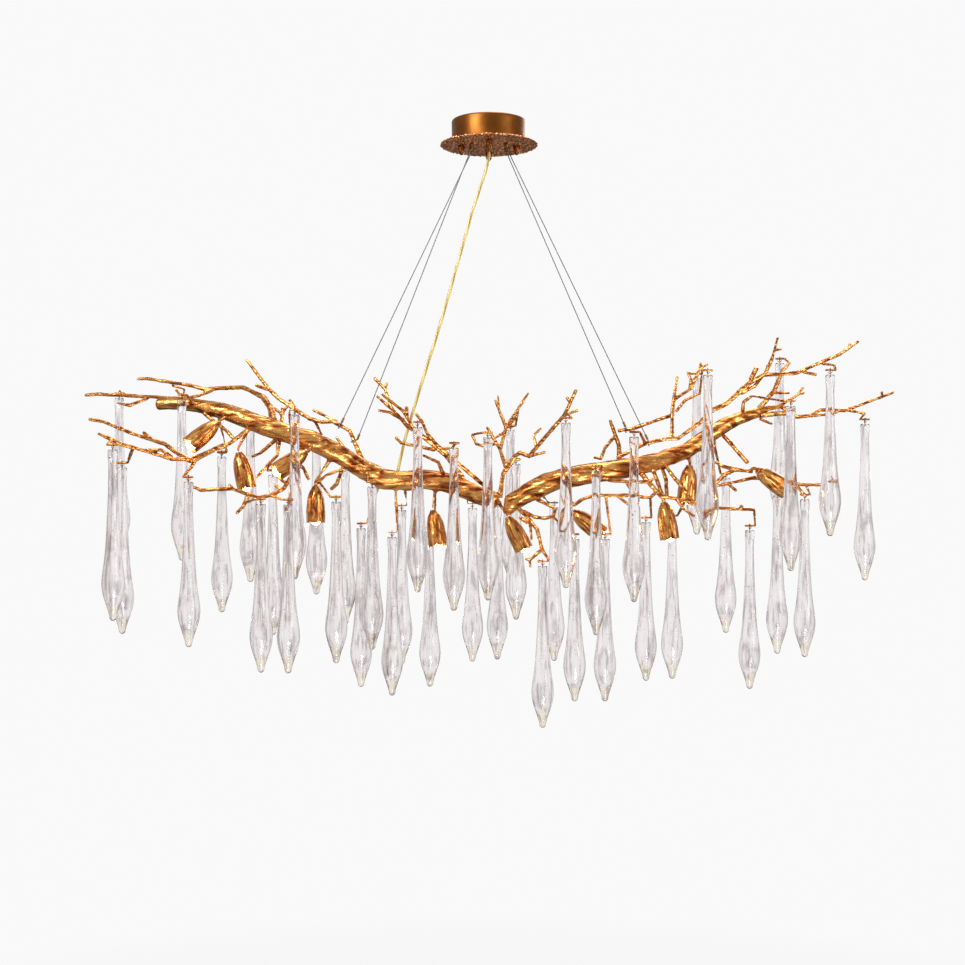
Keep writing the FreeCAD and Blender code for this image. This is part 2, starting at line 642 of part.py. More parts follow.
def canopy_can():
    """A spun can, open at the ceiling, with a lip turned in that the plate clamps."""
    body = new_body("canopy_can")
    outline = sketch_on(body, "can_outline")
    circle(outline, "can", 50, "Sizes.can_dia")
    pad(body, "can_wall_and_lip", outline, "Sizes.can_height")
    inside = sketch_on(body, "can_inside")
    circle(inside, "inside", 45, "Sizes.can_dia - 2 * Sizes.can_wall")
    pocket(body, "can_hollow", inside, "Sizes.can_height - Sizes.can_wall")
    mouth = sketch_on(body, "can_mouth")
    circle(mouth, "mouth", 40, "Sizes.can_dia - 2 * Sizes.can_wall - 2 * Sizes.can_lip")
    pocket(body, "can_lip_opening", mouth, "Sizes.can_height")


def canopy_plate():
    """The round plate under the can, holed for the studs, the cables and the cord."""
    body = new_body("canopy_plate")
    outline = sketch_on(body, "plate_outline", "-Sizes.can_height")
    circle(outline, "plate", 70, "Sizes.plate_dia")
    pad(body, "plate_disc", outline, "Sizes.plate_thick")
    middle = sketch_on(body, "plate_cord_hole", "-Sizes.can_height")
    circle(middle, "cord", 3, "Sizes.bush_shank + Sizes.hole_play")
    pocket(body, "cord_hole", middle, "Sizes.plate_thick")
    for index, (right, back) in enumerate(((0, 0), (1, 0), (0, 1), (1, 1))):
        corner = sketch_on(body, f"plate_cable_hole_{index}", "-Sizes.can_height")
        circle(corner, "cable", 2.3, "Sizes.gland_shank + Sizes.hole_play",
               "Sizes.gland_spread_x / 2", "Sizes.gland_spread_y / 2")
        if not right:
            corner.setExpression("AttachmentOffset.Base.x", "-Sizes.gland_spread_x")
        if not back:
            corner.setExpression("AttachmentOffset.Base.y", "-Sizes.gland_spread_y")
        pocket(body, f"cable_hole_{index}", corner, "Sizes.plate_thick")
    edge = sketch_on(body, "plate_stud_hole", "-Sizes.can_height")
    circle(edge, "stud", 2.2, "Sizes.stud_dia + Sizes.stud_play", "Sizes.stud_circle / 2")
    hole = pocket(body, "stud_hole", edge, "Sizes.plate_thick")
    around_axis(body, "stud_holes", [hole], 4)


def stud_places():
    """The four places on the stud circle."""
    reach = size("stud_circle") / 2
    return [Vector(reach * math.cos(math.radians(a)), reach * math.sin(math.radians(a)), 0)
            for a in (0, 90, 180, 270)]


def canopy_studs_and_nuts():
    """Four threaded studs, and the acorn nuts that hold the plate and the can up."""
    top = -size("bracket_thick")
    bottom = plate_bottom - size("nut_bore_depth") + size("stud_play")
    stud_width = size("stud_dia")
    bore_width = stud_width + size("stud_play")
    collar = -size("nut_collar")
    dome = -size("nut_dome")
    nut_stations = [
        (collar + dome, 0.25 * size("nut_dia")),
        (collar + 0.6 * dome, 0.78 * size("nut_dia")),
        (collar, size("nut_dia")),
        (0, size("nut_dia")),
    ]
    studs = []
    nuts = []
    for place in stud_places():
        studs.append(turned(place, [(bottom, stud_width), (top, stud_width)], STUD_SIDES))
        seat = place + Vector(0, 0, plate_bottom)
        bore = turned(seat, [(-size("nut_bore_depth"), bore_width), (0, bore_width)], STUD_SIDES)
        nuts.append(turned(seat, nut_stations, NUT_SIDES).cut(bore).Solids[0])
    keep("canopy_studs", Part.makeCompound(studs))
    keep("canopy_nuts", Part.makeCompound(nuts))


def gland_places():
    """Where the four cables leave the plate, in the order of the eyes."""
    across_x = size("gland_spread_x") / 2
    across_y = size("gland_spread_y") / 2
    return [
        Vector(-across_x, across_y, plate_bottom),
        Vector(-across_x, -across_y, plate_bottom),
        Vector(across_x, across_y, plate_bottom),
        Vector(across_x, -across_y, plate_bottom),
    ]


def fitting(seat, width, drop, shank, shank_rise):
    """A brass fitting in the plate: a skirt that narrows downwards, and a shank above it."""
    rise = size("plate_thick") + shank_rise
    return turned(seat, [(-drop, 0.66 * width), (0, width), (0, shank), (rise, shank)], NUT_SIDES)


def cable_glands():
    """A brass gripper for each cable: a shank through the plate and a skirt under it."""
    sizes = [size(alias) for alias in ("gland_dia", "gland_drop", "gland_shank", "gland_shank_rise")]
    keep("cable_glands", Part.makeCompound([fitting(seat, *sizes) for seat in gland_places()]))


def cord_bush():
    """The bush that the power cord leaves the plate through."""
    sizes = [size(alias) for alias in ("bush_dia", "bush_drop", "bush_shank", "bush_shank_rise")]
    keep("cord_bush", fitting(Vector(0, 0, plate_bottom), *sizes))


def terminal_block():
    """The block that joins the house wires to the cord, on the plate inside the can."""
    body = new_body("terminal_block")
    outline = sketch_on(body, "block_outline", "-Sizes.can_height")
    rectangle(outline, "block", 15, 6, "Sizes.terminal_length", "Sizes.terminal_width")
    outline.setExpression("AttachmentOffset.Base.y", "Sizes.terminal_offset")
    pad(body, "block", outline, "Sizes.terminal_height", downward=False)


# ---------------------------------------------------------------- cables and cord

def cable_eye(place, bough_radius, run, pull):
    """The wire eye that grips a bough and its crimp, and the middle of the crimp's top."""
    wire = size("eye_wire")
    inner = bough_radius + size("eye_play")
    corners = 6
    stretch = 1 / math.cos(math.pi / corners)
    flats = []
    for radius in (inner + wire, inner):
        points, _ = ring_at(place - run * (wire / 2), run, radius * stretch, corners)
        flats.append(Part.Face(Part.makePolygon(points + [points[0]])))
    ring = flats[0].cut(flats[1]).Faces[0].extrude(run * wire)
    outward = (pull - run * pull.dot(run)).normalize()
    crimp_foot = place + outward * (inner + 0.9 * wire)
    crimp_top = crimp_foot + pull * size("crimp_length")
    crimp_ends = [ring_at(end, pull, size("crimp_dia") / 2, 6)[0] for end in (crimp_foot, crimp_top)]
    eye = ring.fuse(skin(crimp_ends))
    if len(eye.Solids) != 1:
        raise ValueError("an eye isn't joined to its crimp")
    return eye.Solids[0], crimp_top


def suspension():
    """Four straight wire cables, each from its gland to a crimp and an eye round a bough."""
    cables = []
    eyes = []
    radius = size("cable_dia") / 2
    for index, (seat, (near, routes)) in enumerate(zip(gland_places(), CABLE_EYES)):
        place, bough_radius, run = nearest_point(routes, Vector(*near))
        top = seat + Vector(0, 0, -size("gland_drop"))
        eye, crimp_top = cable_eye(place, bough_radius, run, (top - place).normalize())
        eyes.append(eye)
        pull = (top - crimp_top).normalize()
        lean = math.sqrt(1 - pull.z * pull.z)
        length = (top - crimp_top).Length - radius * lean / pull.z
        cables.append(Part.makeCylinder(radius, length, crimp_top, pull))
        print(f"cable {index}: {length:.0f} mm long")
    keep("suspension_cables", Part.makeCompound(cables))
    keep("cable_eyes", Part.makeCompound(eyes))


def cord_end():
    """The end of the cord, just above the floor of the slot."""
    return Vector(*CORD_ENTRY) - Vector(0, 0, size("slot_depth") - size("cord_rest"))


def power_cord():
    """The cord from its bush to the floor of the slot in the main branch."""
    top = Vector(0, 0, plate_bottom - size("bush_drop"))
    route = [top] + [Vector(*p) for p in CORD_ROUTE] + [cord_end()]
    keep("power_cord", tube(route, size("cord_dia") / 2, "power cord"))


# ---------------------------------------------------------------- lamps

def lamp_frame(neck, look_at):
    """Turns and moves a lamp that points down +Z from the origin to its place."""
    axis = (Vector(*look_at) - Vector(*neck)).normalize()
    return Placement(Vector(*neck), Rotation(Vector(0, 0, 1), axis))


def pod_stations(inset, start):
    """The pod's outline, drawn in by its wall, from a height to its mouth."""
    length = size("pod_length")
    width = size("pod_width")
    full = [
        (0.0, size("pod_neck_width")),
        (0.16 * length, 0.68 * width),
        (0.48 * length, 0.96 * width),
        (length, width),
    ]
    shown = [(height, across_it - 2 * inset) for height, across_it in full if height > start]
    if inset:
        low = next(s for s in reversed(full) if s[0] <= start)
        high = next(s for s in full if s[0] > start)
        share = (start - low[0]) / (high[0] - low[0])
        shown.insert(0, (start, low[1] + (high[1] - low[1]) * share - 2 * inset))
    else:
        shown.insert(0, full[0])
    return shown


def lamps():
    """Pod-shaped holders, the sockets seated in them and the bulbs at their mouths."""
    pod = skin(rings_of(pod_stations(0, 0), LAMP_SIDES))
    hollow = skin(rings_of(pod_stations(size("pod_wall"), size("pod_floor")), LAMP_SIDES))
    pod = pod.cut(hollow).Solids[0]
    floor = size("pod_floor")
    socket_end = floor + size("socket_length")
    socket_width = size("socket_width")
    socket = skin(rings_of([(floor, 0.8 * socket_width), (socket_end, socket_width)], BULB_SIDES))
    tip = size("pod_length") + size("bulb_proud")
    wide = size("bulb_width")
    bulb_outline = [
        (socket_end, 0.7 * wide),
        (tip - 0.5 * wide, wide),
        (tip, 0.45 * wide),
    ]
    bulb = skin(rings_of(bulb_outline, BULB_SIDES))
    groups = {"lamp_cups": pod, "lamp_sockets": socket, "lamp_bulbs": bulb}
    for name, master in groups.items():
        copies = []
        for neck, look_at, _ in LAMPS:
            copy = master.copy()
            copy.Placement = lamp_frame(neck, look_at)
            copies.append(copy)
        keep(name, Part.makeCompound(copies))


# ---------------------------------------------------------------- boughs

def hook_name(key):
    """The name of the drop that hangs at a place."""
    return f"drop_{key}"


def stub_route(place, root, root_radius):
    """A side twig from its bough to the level stub that a drop's wire hangs on."""
    radius = size("stub_radius")
    side = 1 if place.x >= root.x else -1
    inner = place + Vector(-side * size("stub_root"), 0, 0)
    outer = place + Vector(side * size("stub_tip"), 0, 0)
    start_radius = max(min(root_radius * 0.8, radius * 1.4), radius)
    return [
        (*outer, radius),
        (*inner, radius),
        (*root, start_radius),
    ]


def stem_route(neck, look_at, root, root_radius):
    """The stem from a bough to the neck of a lamp pod, square to the neck at its end."""
    axis = (Vector(*look_at) - Vector(*neck)).normalize()
    neck = Vector(*neck)
    elbow = neck - axis * (2.5 * size("stem_radius"))
    radius = size("stem_radius")
    return [(*root, min(root_radius, 1.5 * radius)), (*elbow, radius), (*neck, radius)]


def cord_slot():
    """The slot in the top of the main branch that the cord runs into."""
    middle = cord_end() - Vector(0, 0, size("cord_rest"))
    length = size("slot_length")
    width = size("slot_width")
    corner = middle + Vector(-length / 3, -width / 2, 0)
    return Part.makeBox(length, width, 4 * size("slot_depth"), corner)


castings = []
STUB_SIDES = 4


def bough(name, routes, sides):
    """Boughs with the stubs that drops hang on and the stems of their lamps.

    Twigs are welded to what stands before them in the list of castings, so their roots
    are cut to it and meet it face to face.
    """
    pieces = [limb(route, sides) for route in routes]
    for place, host in HOOKS.values():
        if host == name:
            root, radius, _ = nearest_point(routes, Vector(*place))
            pieces.append(limb(stub_route(Vector(*place), root, radius), STUB_SIDES))
    for neck, look_at, host in LAMPS:
        if host == name:
            root, radius, _ = nearest_point(routes, Vector(*neck))
            pieces.append(limb(stem_route(neck, look_at, root, radius), STUB_SIDES))
    whole = pieces[0].multiFuse(pieces[1:])
    if name == "main_branch_left":
        whole = whole.cut(cord_slot())
    for earlier in castings:
        if whole.BoundBox.intersect(earlier.BoundBox):
            whole = whole.cut(earlier)
    castings.append(whole)
    print(name, [round(solid.Volume) for solid in whole.Solids])
    keep(name, Part.makeCompound(whole.Solids))


# ---------------------------------------------------------------- drops

def drop_section(height, width, depth):
    """A three-sided section with blunt corners, one corner to the front."""
    blunt = math.radians(24)
    points = []
    for corner in (math.radians(270), math.radians(30), math.radians(150)):
        for angle in (corner - blunt, corner + blunt):
            points.append(Vector(width / 2 * math.cos(angle) / math.cos(math.radians(6)),
                                 depth / 2 * math.sin(angle), height))
    return points


def drop_solid():
    """A cast glass drop, its head's hole at the origin and its nipple straight below."""
    top = size("head_above_hole")
    length = size("drop_length")
    stations = [
        (0.0, size("head_width"), size("head_thick")),
        (0.09 * length, size("neck_width"), 0.8 * size("neck_width")),
        (0.50 * length, 0.55 * size("drop_width"), 0.55 * size("drop_depth")),
        (0.81 * length, size("drop_width"), size("drop_depth")),
        (0.925 * length, 0.48 * size("drop_width"), 0.48 * size("drop_depth")),
        (length, size("nipple_width"), size("nipple_width")),
    ]
    rings = [drop_section(top - down, width, depth) for down, width, depth in stations]
    glass = skin(rings)
    hole_width = size("hole_width")
    below = size("link_wire") / 2 + hole_width / 2
    above = size("link_wire") / 2 + size("link_play")
    hole = Part.makeBox(hole_width, 4 * size("head_thick"), above + below,
                        Vector(-hole_width / 2, -2 * size("head_thick"), -below))
    return glass.cut(hole).Solids[0]


def link_solid():
    """The wire link over a twig and through a drop's head, the twig's middle at the origin."""
    wire = size("link_wire")
    inner_top = size("stub_radius") * math.cos(math.pi / STUB_SIDES) + size("link_play")
    inner_bottom = -size("link_reach") + wire / 2
    inner_side = max(size("stub_radius"), size("head_thick") / 2) + 2 * size("link_play")
    faces = []
    for grow in (wire, 0):
        corners = [
            Vector(-wire / 2, -inner_side - grow, inner_bottom - grow),
            Vector(-wire / 2, inner_side + grow, inner_bottom - grow),
            Vector(-wire / 2, inner_side + grow, inner_top + grow),
            Vector(-wire / 2, -inner_side - grow, inner_top + grow),
        ]
        faces.append(Part.Face(Part.makePolygon(corners + [corners[0]])))
    return faces[0].cut(faces[1]).Faces[0].extrude(Vector(wire, 0, 0))


def hang_drops():
    """Every drop on its link, each pair that shares a length of twig as one sub-part."""
    glass = drop_solid()
    link = link_solid()
    partners = dict(SHARED)
    seconds = {second for _, second in SHARED}
    for key, (place, _) in HOOKS.items():
        if key in seconds:
            continue
        pieces = []
        for each in (key, partners.get(key)):
            if each is None:
                continue
            shift = Vector(*HOOKS[each][0]) - Vector(*place)
            low = shift - Vector(0, 0, size("link_reach"))
            pieces.append(glass.copy().translate(low))
            pieces.append(link.copy().translate(shift))
        keep(hook_name(key), Part.makeCompound(pieces), Placement(Vector(*place), Rotation()))


# ---------------------------------------------------------------- the whole fixture

ceiling_bracket()
canopy_can()
canopy_plate()
canopy_studs_and_nuts()
cable_glands()
cord_bush()
terminal_block()
suspension()
power_cord()
lamps()
bough("main_branch_left", MAIN_BRANCH_LEFT, 8)
bough("main_branch_right", MAIN_BRANCH_RIGHT, 8)
bough("branch_left", BRANCH_LEFT, 4)
bough("branch_upper_left", BRANCH_UPPER_LEFT, 4)
bough("branch_centre", BRANCH_CENTRE, 4)
bough("branch_right", BRANCH_RIGHT, 4)
bough("branch_lower", BRANCH_LOWER, 4)
hang_drops()

doc.recompute()
for item in doc.Objects:
    if "Invalid" in item.State or "Error" in item.State:
        raise ValueError(f"{item.Name} is {item.State}")
os.makedirs("parts", exist_ok=True)
for item in sub_parts:
    if item.Shape.isNull() or not item.Shape.isValid():
        raise ValueError(f"{item.Label} has no valid shape")
for item in sub_parts:
    item.Shape.exportStep(os.path.join("parts", item.Label + ".step"))
print(len(sub_parts), "sub-parts")
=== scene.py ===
import math
import random

import bmesh
import bpy
import numpy
from bpy.props import (
    FloatProperty,
    FloatVectorProperty,
    IntProperty,
    PointerProperty,
    StringProperty,
)
from bpy.types import Operator, Panel, PropertyGroup
from mathutils import Matrix, Vector


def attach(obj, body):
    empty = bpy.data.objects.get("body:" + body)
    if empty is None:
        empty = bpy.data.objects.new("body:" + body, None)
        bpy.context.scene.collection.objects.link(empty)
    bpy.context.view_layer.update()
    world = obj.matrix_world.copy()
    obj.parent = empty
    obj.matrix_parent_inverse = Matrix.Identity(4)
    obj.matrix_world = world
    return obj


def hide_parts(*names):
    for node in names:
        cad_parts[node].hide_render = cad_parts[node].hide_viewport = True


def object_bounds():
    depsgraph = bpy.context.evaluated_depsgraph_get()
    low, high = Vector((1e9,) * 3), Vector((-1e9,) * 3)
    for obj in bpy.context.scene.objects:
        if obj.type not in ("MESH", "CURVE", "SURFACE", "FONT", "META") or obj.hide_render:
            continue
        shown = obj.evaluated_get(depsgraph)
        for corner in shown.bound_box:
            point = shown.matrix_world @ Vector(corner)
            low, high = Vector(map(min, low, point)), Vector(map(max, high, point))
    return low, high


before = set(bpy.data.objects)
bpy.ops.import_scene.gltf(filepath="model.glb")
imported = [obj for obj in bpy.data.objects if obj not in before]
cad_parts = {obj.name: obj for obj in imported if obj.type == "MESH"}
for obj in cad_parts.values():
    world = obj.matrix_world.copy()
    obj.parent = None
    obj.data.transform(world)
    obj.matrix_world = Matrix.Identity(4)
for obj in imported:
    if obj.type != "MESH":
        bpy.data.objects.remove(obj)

# Dresses the branch chandelier: cast boughs in copper and gold leaf, clear glass drops on
# copper wire, pod-shaped lamp holders with their bulbs, the canopy, four wire cables and
# the clear gold power cord. Metres, +Z up, the origin in the ceiling, -Y to the front.

bl_info = {
    "name": "Branch chandelier",
    "version": (1, 0, 0),
    "blender": (4, 5, 0),
    "location": "View3D > Sidebar > Chandelier",
    "description": "Builds the boughs, glass drops, lamps, canopy and cables of a branch chandelier",
    "category": "Object",
}

cad_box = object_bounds()
MM = 0.001

# ---------------------------------------------------------------- settings


def colour(name, description, default):
    """A colour setting, kept as an sRGB hex value."""
    return StringProperty(name=name, description=description, default=default)


def length(name, description, default):
    """A length setting in metres."""
    return FloatProperty(name=name, description=description, default=default, unit="LENGTH", precision=5)


class BoughSettings(PropertyGroup):
    trunk_grid: length("Trunk grid", "Edge length of the main branches' surface grid", 1.5 * MM)
    twig_grid: length("Twig grid", "Edge length of the twigs' surface grid", 0.95 * MM)
    trunk_ridge: length("Trunk ridges", "Height of the bark ridges on the main branches", 1.0 * MM)
    twig_ridge: length("Twig ridges", "Height of the bark ridges on the twigs", 0.7 * MM)
    ridge_spacing: length("Ridge spacing", "From one bark ridge to the next", 6.0 * MM)
    ridge_length: length("Ridge length", "How far a bark ridge runs along the bough", 38 * MM)
    # These colours are laid on by ridge height: the gold is painted highlight on the ridges, and the darkest
    # one is painted shade in the hollows.
    gold: colour("Gold leaf", "Leaf rubbed bright on the ridges", "#F2B062")
    copper: colour("Copper leaf", "Leaf on the flanks", "#A85C26")
    painted_hollow_shade: colour("Patina", "Dark lacquer left in the hollows", "#4A1F0A")


class DropSettings(PropertyGroup):
    sides: IntProperty(name="Sides", description="Points round a drop's section", default=30, min=12)
    bubbles: IntProperty(name="Bubbles", description="Air bubbles in one drop", default=22, min=0)
    bubble: length("Bubble size", "Radius of the largest air bubble", 0.9 * MM)
    wire: length("Wire", "Thickness of the copper wire", 0.9 * MM)
    glass: colour("Glass", "Clear cast glass with a faint lilac cast", "#F7F3F3")
    # The edge colour is painted shade where the glass is seen edge on; it also darkens the cords drawn in
    # the glass.
    edge: colour("Glass edge", "How the glass darkens where it is seen edge on", "#978D90")
    # The amber colour is painted warm light in a drop's lower end.
    painted_warm_tip: colour("Amber", "Warm light caught in the lower end", "#F5ECD8")
    wire_colour: colour("Copper wire", "Bare soft copper", "#B0683A")


class LampSettings(PropertyGroup):
    lobes: IntProperty(name="Lobes", description="Petal lobes round a pod", default=6, min=3)
    lobe_depth: length("Lobe depth", "How far the pod's lobes stand out", 0.8 * MM)
    glow: colour("Glow", "Light of the small warm bulbs", "#FFC46A")
    glow_strength: FloatProperty(name="Glow strength", description="Brightness of the bulbs", default=26.0)
    ceramic: colour("Socket", "White glazed ceramic socket", "#E8E3DA")


class CanopySettings(PropertyGroup):
    edge_round: length("Edge", "Radius of the can's spun top edge", 3.0 * MM)
    nugget: length("Nuggets", "Width of one hammered nugget on the plate", 4.4 * MM)
    nugget_depth: length("Nugget depth", "Depth between nuggets", 1.5 * MM)
    copper: colour("Lacquered copper", "Satin copper-brown lacquer", "#96561C")
    # The bright copper is painted highlight on the nugget tops.
    bright: colour("Bright copper", "Copper rubbed bright on the nuggets", "#FFC08A")
    zinc: colour("Zinc", "Zinc-plated steel", "#B9BCBB")
    plastic: colour("Terminal plastic", "Moulded white polyamide", "#E2DFD6")


class CordSettings(PropertyGroup):
    cord_diameter: length("Cord diameter", "Outside of the clear cord", 3.6 * MM)
    cable_diameter: length("Cable diameter", "Outside of a wire cable", 1.4 * MM)
    strand_lay: length("Strand lay", "Along a cable for one turn of its strands", 7 * MM)
    gold: colour("Clear gold", "Clear gold PVC over twisted copper", "#E4C452")
    core: colour("Cores", "The tinned copper cores that show through", "#C29C3C")
    steel: colour("Cable steel", "Galvanised steel wire rope", "#7E8085")
    brass: colour("Brass", "Satin brass of grippers and crimps", "#9C6A33")


class StageSettings(PropertyGroup):
    floor_drop: length("Floor", "From the lowest drop down to the floor", 1.05)
    pale: colour("Backdrop", "Pale seamless paper", "#F9F9F9")
    eye_place: FloatVectorProperty(
        name="Camera", description="Where the camera stands", size=3, subtype="XYZ", unit="LENGTH",
        default=(-0.0097, -2.163, -0.537),
    )
    lens: FloatProperty(name="Lens", description="Focal length in millimetres", default=54.35)


GROUPS = {
    "chandelier_boughs": BoughSettings,
    "chandelier_drops": DropSettings,
    "chandelier_lamps": LampSettings,
    "chandelier_canopy": CanopySettings,
    "chandelier_cords": CordSettings,
    "chandelier_stage": StageSettings,
}

# ---------------------------------------------------------------- shared functions


def linear(hex_colour):
    """An sRGB hex value as the linear colour that a shader takes."""
    channels = [int(hex_colour[i:i + 2], 16) / 255 for i in (1, 3, 5)]
    flat = [c / 12.92 if c <= 0.04045 else ((c + 0.055) / 1.055) ** 2.4 for c in channels]
    return (*flat, 1.0)


def add(tree, kind, inputs=None, stops=None, **settings):
    """Adds a node with its settings; an input is a value or another node's output."""
    made = tree.nodes.new(kind)
    for name, value in settings.items():
        setattr(made, name, value)
    if stops:
        elements = made.color_ramp.elements
        while len(elements) < len(stops):
            elements.new(1.0)
        for element, (place, shade) in zip(elements, stops):
            element.position = place
            element.color = linear(shade) if isinstance(shade, str) else (shade, shade, shade, 1.0)
    for name, value in (inputs or {}).items():
        socket = made.inputs[name]
        if isinstance(value, bpy.types.NodeSocket):
            tree.links.new(value, socket)
        else:
            socket.default_value = value
    return made


def new_material(name):
    """An empty node material with its output."""
    material = bpy.data.materials.new(name)
    material.use_nodes = True
    material.node_tree.nodes.clear()
    return material, material.node_tree


def finish_material(tree, shader):
    """Leads a shader to the material's output."""
    add(tree, "ShaderNodeOutputMaterial", {"Surface": shader.outputs[0]})


def new_object(name, mesh, material=None, smooth=True):
    """An object at the world's origin from a mesh that is already in place."""
    made = bpy.data.objects.new(name, mesh)
    bpy.context.scene.collection.objects.link(made)
    if material is not None:
        mesh.materials.clear()
        mesh.materials.append(material)
    if smooth:
        for polygon in mesh.polygons:
            polygon.use_smooth = True
    return made


def mesh_from(name, vertices, faces, attributes=None):
    """A mesh from points and faces, with number attributes on its points."""
    mesh = bpy.data.meshes.new(name)
    mesh.from_pydata([tuple(v) for v in vertices], [], faces)
    for key, values in (attributes or {}).items():
        layer = mesh.attributes.new(key, "FLOAT", "POINT")
        layer.data.foreach_set("value", values)
    mesh.update()
    return mesh


def merged_copy(name, node):
    """A copy of a CAD node's mesh with its loose triangles joined."""
    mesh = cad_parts[node].data.copy()
    mesh.name = name
    work = bmesh.new()
    work.from_mesh(mesh)
    bmesh.ops.remove_doubles(work, verts=work.verts, dist=0.01 * MM)
    work.to_mesh(mesh)
    work.free()
    mesh.materials.clear()
    return mesh


def islands(node):
    """The points of each separate solid of a CAD node, as arrays."""
    mesh = merged_copy("islands", node)
    work = bmesh.new()
    work.from_mesh(mesh)
    left = set(work.verts)
    found = []
    while left:
        reached = [left.pop()]
        group = []
        while reached:
            vertex = reached.pop()
            group.append(vertex.co.copy())
            for edge in vertex.link_edges:
                other = edge.other_vert(vertex)
                if other in left:
                    left.remove(other)
                    reached.append(other)
        found.append(numpy.array(group))
    work.free()
    bpy.data.meshes.remove(mesh)
    return sorted(found, key=lambda points: tuple(points.mean(axis=0).round(5)))


def long_axis(points):
    """The middle, the direction and the two ends of a long round piece."""
    middle = points.mean(axis=0)
    _, _, directions = numpy.linalg.svd(points - middle)
    direction = directions[0]
    along = (points - middle) @ direction
    low, high = along.min(), along.max()
    return Vector(middle), Vector(direction), low, high, along


def frame_along(place, direction):
    """A transform from +Z at the origin to a direction at a place."""
    turn = Vector((0, 0, 1)).rotation_difference(direction).to_matrix().to_4x4()
    return Matrix.Translation(place) @ turn


def circle(radius, height, sides):
    """Evenly spaced points on a level circle round the Z axis."""
    angles = [2 * math.pi * i / sides for i in range(sides)]
    return [Vector((radius * math.cos(a), radius * math.sin(a), height)) for a in angles]


def from_mm(base, pairs):
    """Heights over a base and the widths there, given in millimetres, as metres."""
    return [(base + height * MM, width * MM) for height, width in pairs]


def loft(rings):
    """Faces between rings of equal counts, with a fan that closes each end."""
    count = len(rings[0])
    vertices = [p for ring in rings for p in ring]
    faces = []
    for i in range(len(rings) - 1):
        for j in range(count):
            k = (j + 1) % count
            faces.append((i * count + j, i * count + k, (i + 1) * count + k, (i + 1) * count + j))
    for row, flip in ((0, True), (len(rings) - 1, False)):
        vertices.append(sum((Vector(p) for p in rings[row]), Vector()) / count)
        tip = len(vertices) - 1
        for j in range(count):
            a, b = row * count + j, row * count + (j + 1) % count
            faces.append((b, a, tip) if flip else (a, b, tip))
    return vertices, faces


def outward(mesh):
    """Turns every face of a closed mesh outwards."""
    work = bmesh.new()
    work.from_mesh(mesh)
    bmesh.ops.remove_doubles(work, verts=work.verts, dist=0.002 * MM)
    bmesh.ops.recalc_face_normals(work, faces=work.faces)
    work.to_mesh(mesh)
    work.free()
    mesh.update()
    return mesh


def smooth_steps(stations, count):
    """Evenly many (x, y) points on a smooth line through stations, without overshoot."""
    xs = [s[0] for s in stations]
    ys = [s[1] for s in stations]
    runs = [(ys[i + 1] - ys[i]) / (xs[i + 1] - xs[i]) for i in range(len(xs) - 1)]
    slopes = [runs[0]]
    for before, after in zip(runs[:-1], runs[1:]):
        level = before * after <= 0
        slopes.append(0.0 if level else 2 * before * after / (before + after))
    slopes.append(runs[-1])
    points = []
    for step in range(count + 1):
        x = xs[0] + (xs[-1] - xs[0]) * step / count
        i = min(max(j for j in range(len(xs)) if xs[j] <= x + 1e-12), len(xs) - 2)
        wide = xs[i + 1] - xs[i]
        t = (x - xs[i]) / wide
        y = (
            ys[i] * (1 + 2 * t) * (1 - t) ** 2
            + slopes[i] * wide * t * (1 - t) ** 2
            + ys[i + 1] * t * t * (3 - 2 * t)
            + slopes[i + 1] * wide * t * t * (t - 1)
        )
        points.append((x, y))
    return points


def evaluated_mesh(obj):
    """The plain mesh that an object's modifiers, or its curve, come to."""
    bpy.context.view_layer.update()
    shown = obj.evaluated_get(bpy.context.evaluated_depsgraph_get())
    return bpy.data.meshes.new_from_object(shown)


def run_nodes(name, mesh, tree, inputs):
    """Puts a mesh through a Geometry Nodes tree and gives the plain mesh that comes out."""
    carrier = bpy.data.objects.new(name, mesh)
    bpy.context.scene.collection.objects.link(carrier)
    modifier = carrier.modifiers.new(name, "NODES")
    modifier.node_group = tree
    sockets = {s.name: s.identifier for s in tree.interface.items_tree if s.in_out == "INPUT"}
    for key, value in inputs.items():
        modifier[sockets[key]] = value
    plain = evaluated_mesh(carrier)
    plain.name = name
    carrier.modifiers.clear()
    bpy.data.objects.remove(carrier)
    return plain


def new_tree(name, sockets):
    """An empty Geometry Nodes tree with named inputs, and its group input node."""
    tree = bpy.data.node_groups.new(name, "GeometryNodeTree")
    tree.interface.new_socket("Geometry", in_out="OUTPUT", socket_type="NodeSocketGeometry")
    tree.interface.new_socket("Geometry", in_out="INPUT", socket_type="NodeSocketGeometry")
    for key, kind in sockets:
        tree.interface.new_socket(key, in_out="INPUT", socket_type=kind)
    return tree, add(tree, "NodeGroupInput")


def end_tree(tree, geometry, material):
    """Realises instances, sets the material and leads to the tree's output."""
    real = add(tree, "GeometryNodeRealizeInstances", {"Geometry": geometry})
    made = add(tree, "GeometryNodeSetMaterial", {"Geometry": real.outputs[0], "Material": material})
    add(tree, "NodeGroupOutput", {"Geometry": made.outputs[0]})


def raised_skin(tree, given, rise, relief, finish):
    """Moves a skin outwards by a rise, keeps its relief for the colour, and ends the tree."""
    normal = add(tree, "GeometryNodeInputNormal").outputs[0]
    offset = add(tree, "ShaderNodeVectorMath", {0: normal, "Scale": rise}, operation="SCALE").outputs[0]
    moved = add(
        tree, "GeometryNodeSetPosition", {"Geometry": given.outputs["Geometry"], "Offset": offset}
    ).outputs[0]
    kept = add(
        tree, "GeometryNodeStoreNamedAttribute", {"Geometry": moved, "Name": "relief", "Value": relief},
        data_type="FLOAT", domain="POINT",
    ).outputs[0]
    end_tree(tree, kept, finish)
    return tree


def baked_modifiers(obj):
    """Turns an object's modifiers into its plain mesh."""
    plain = evaluated_mesh(obj)
    obj.modifiers.clear()
    old = obj.data
    obj.data = plain
    bpy.data.meshes.remove(old)
    return obj


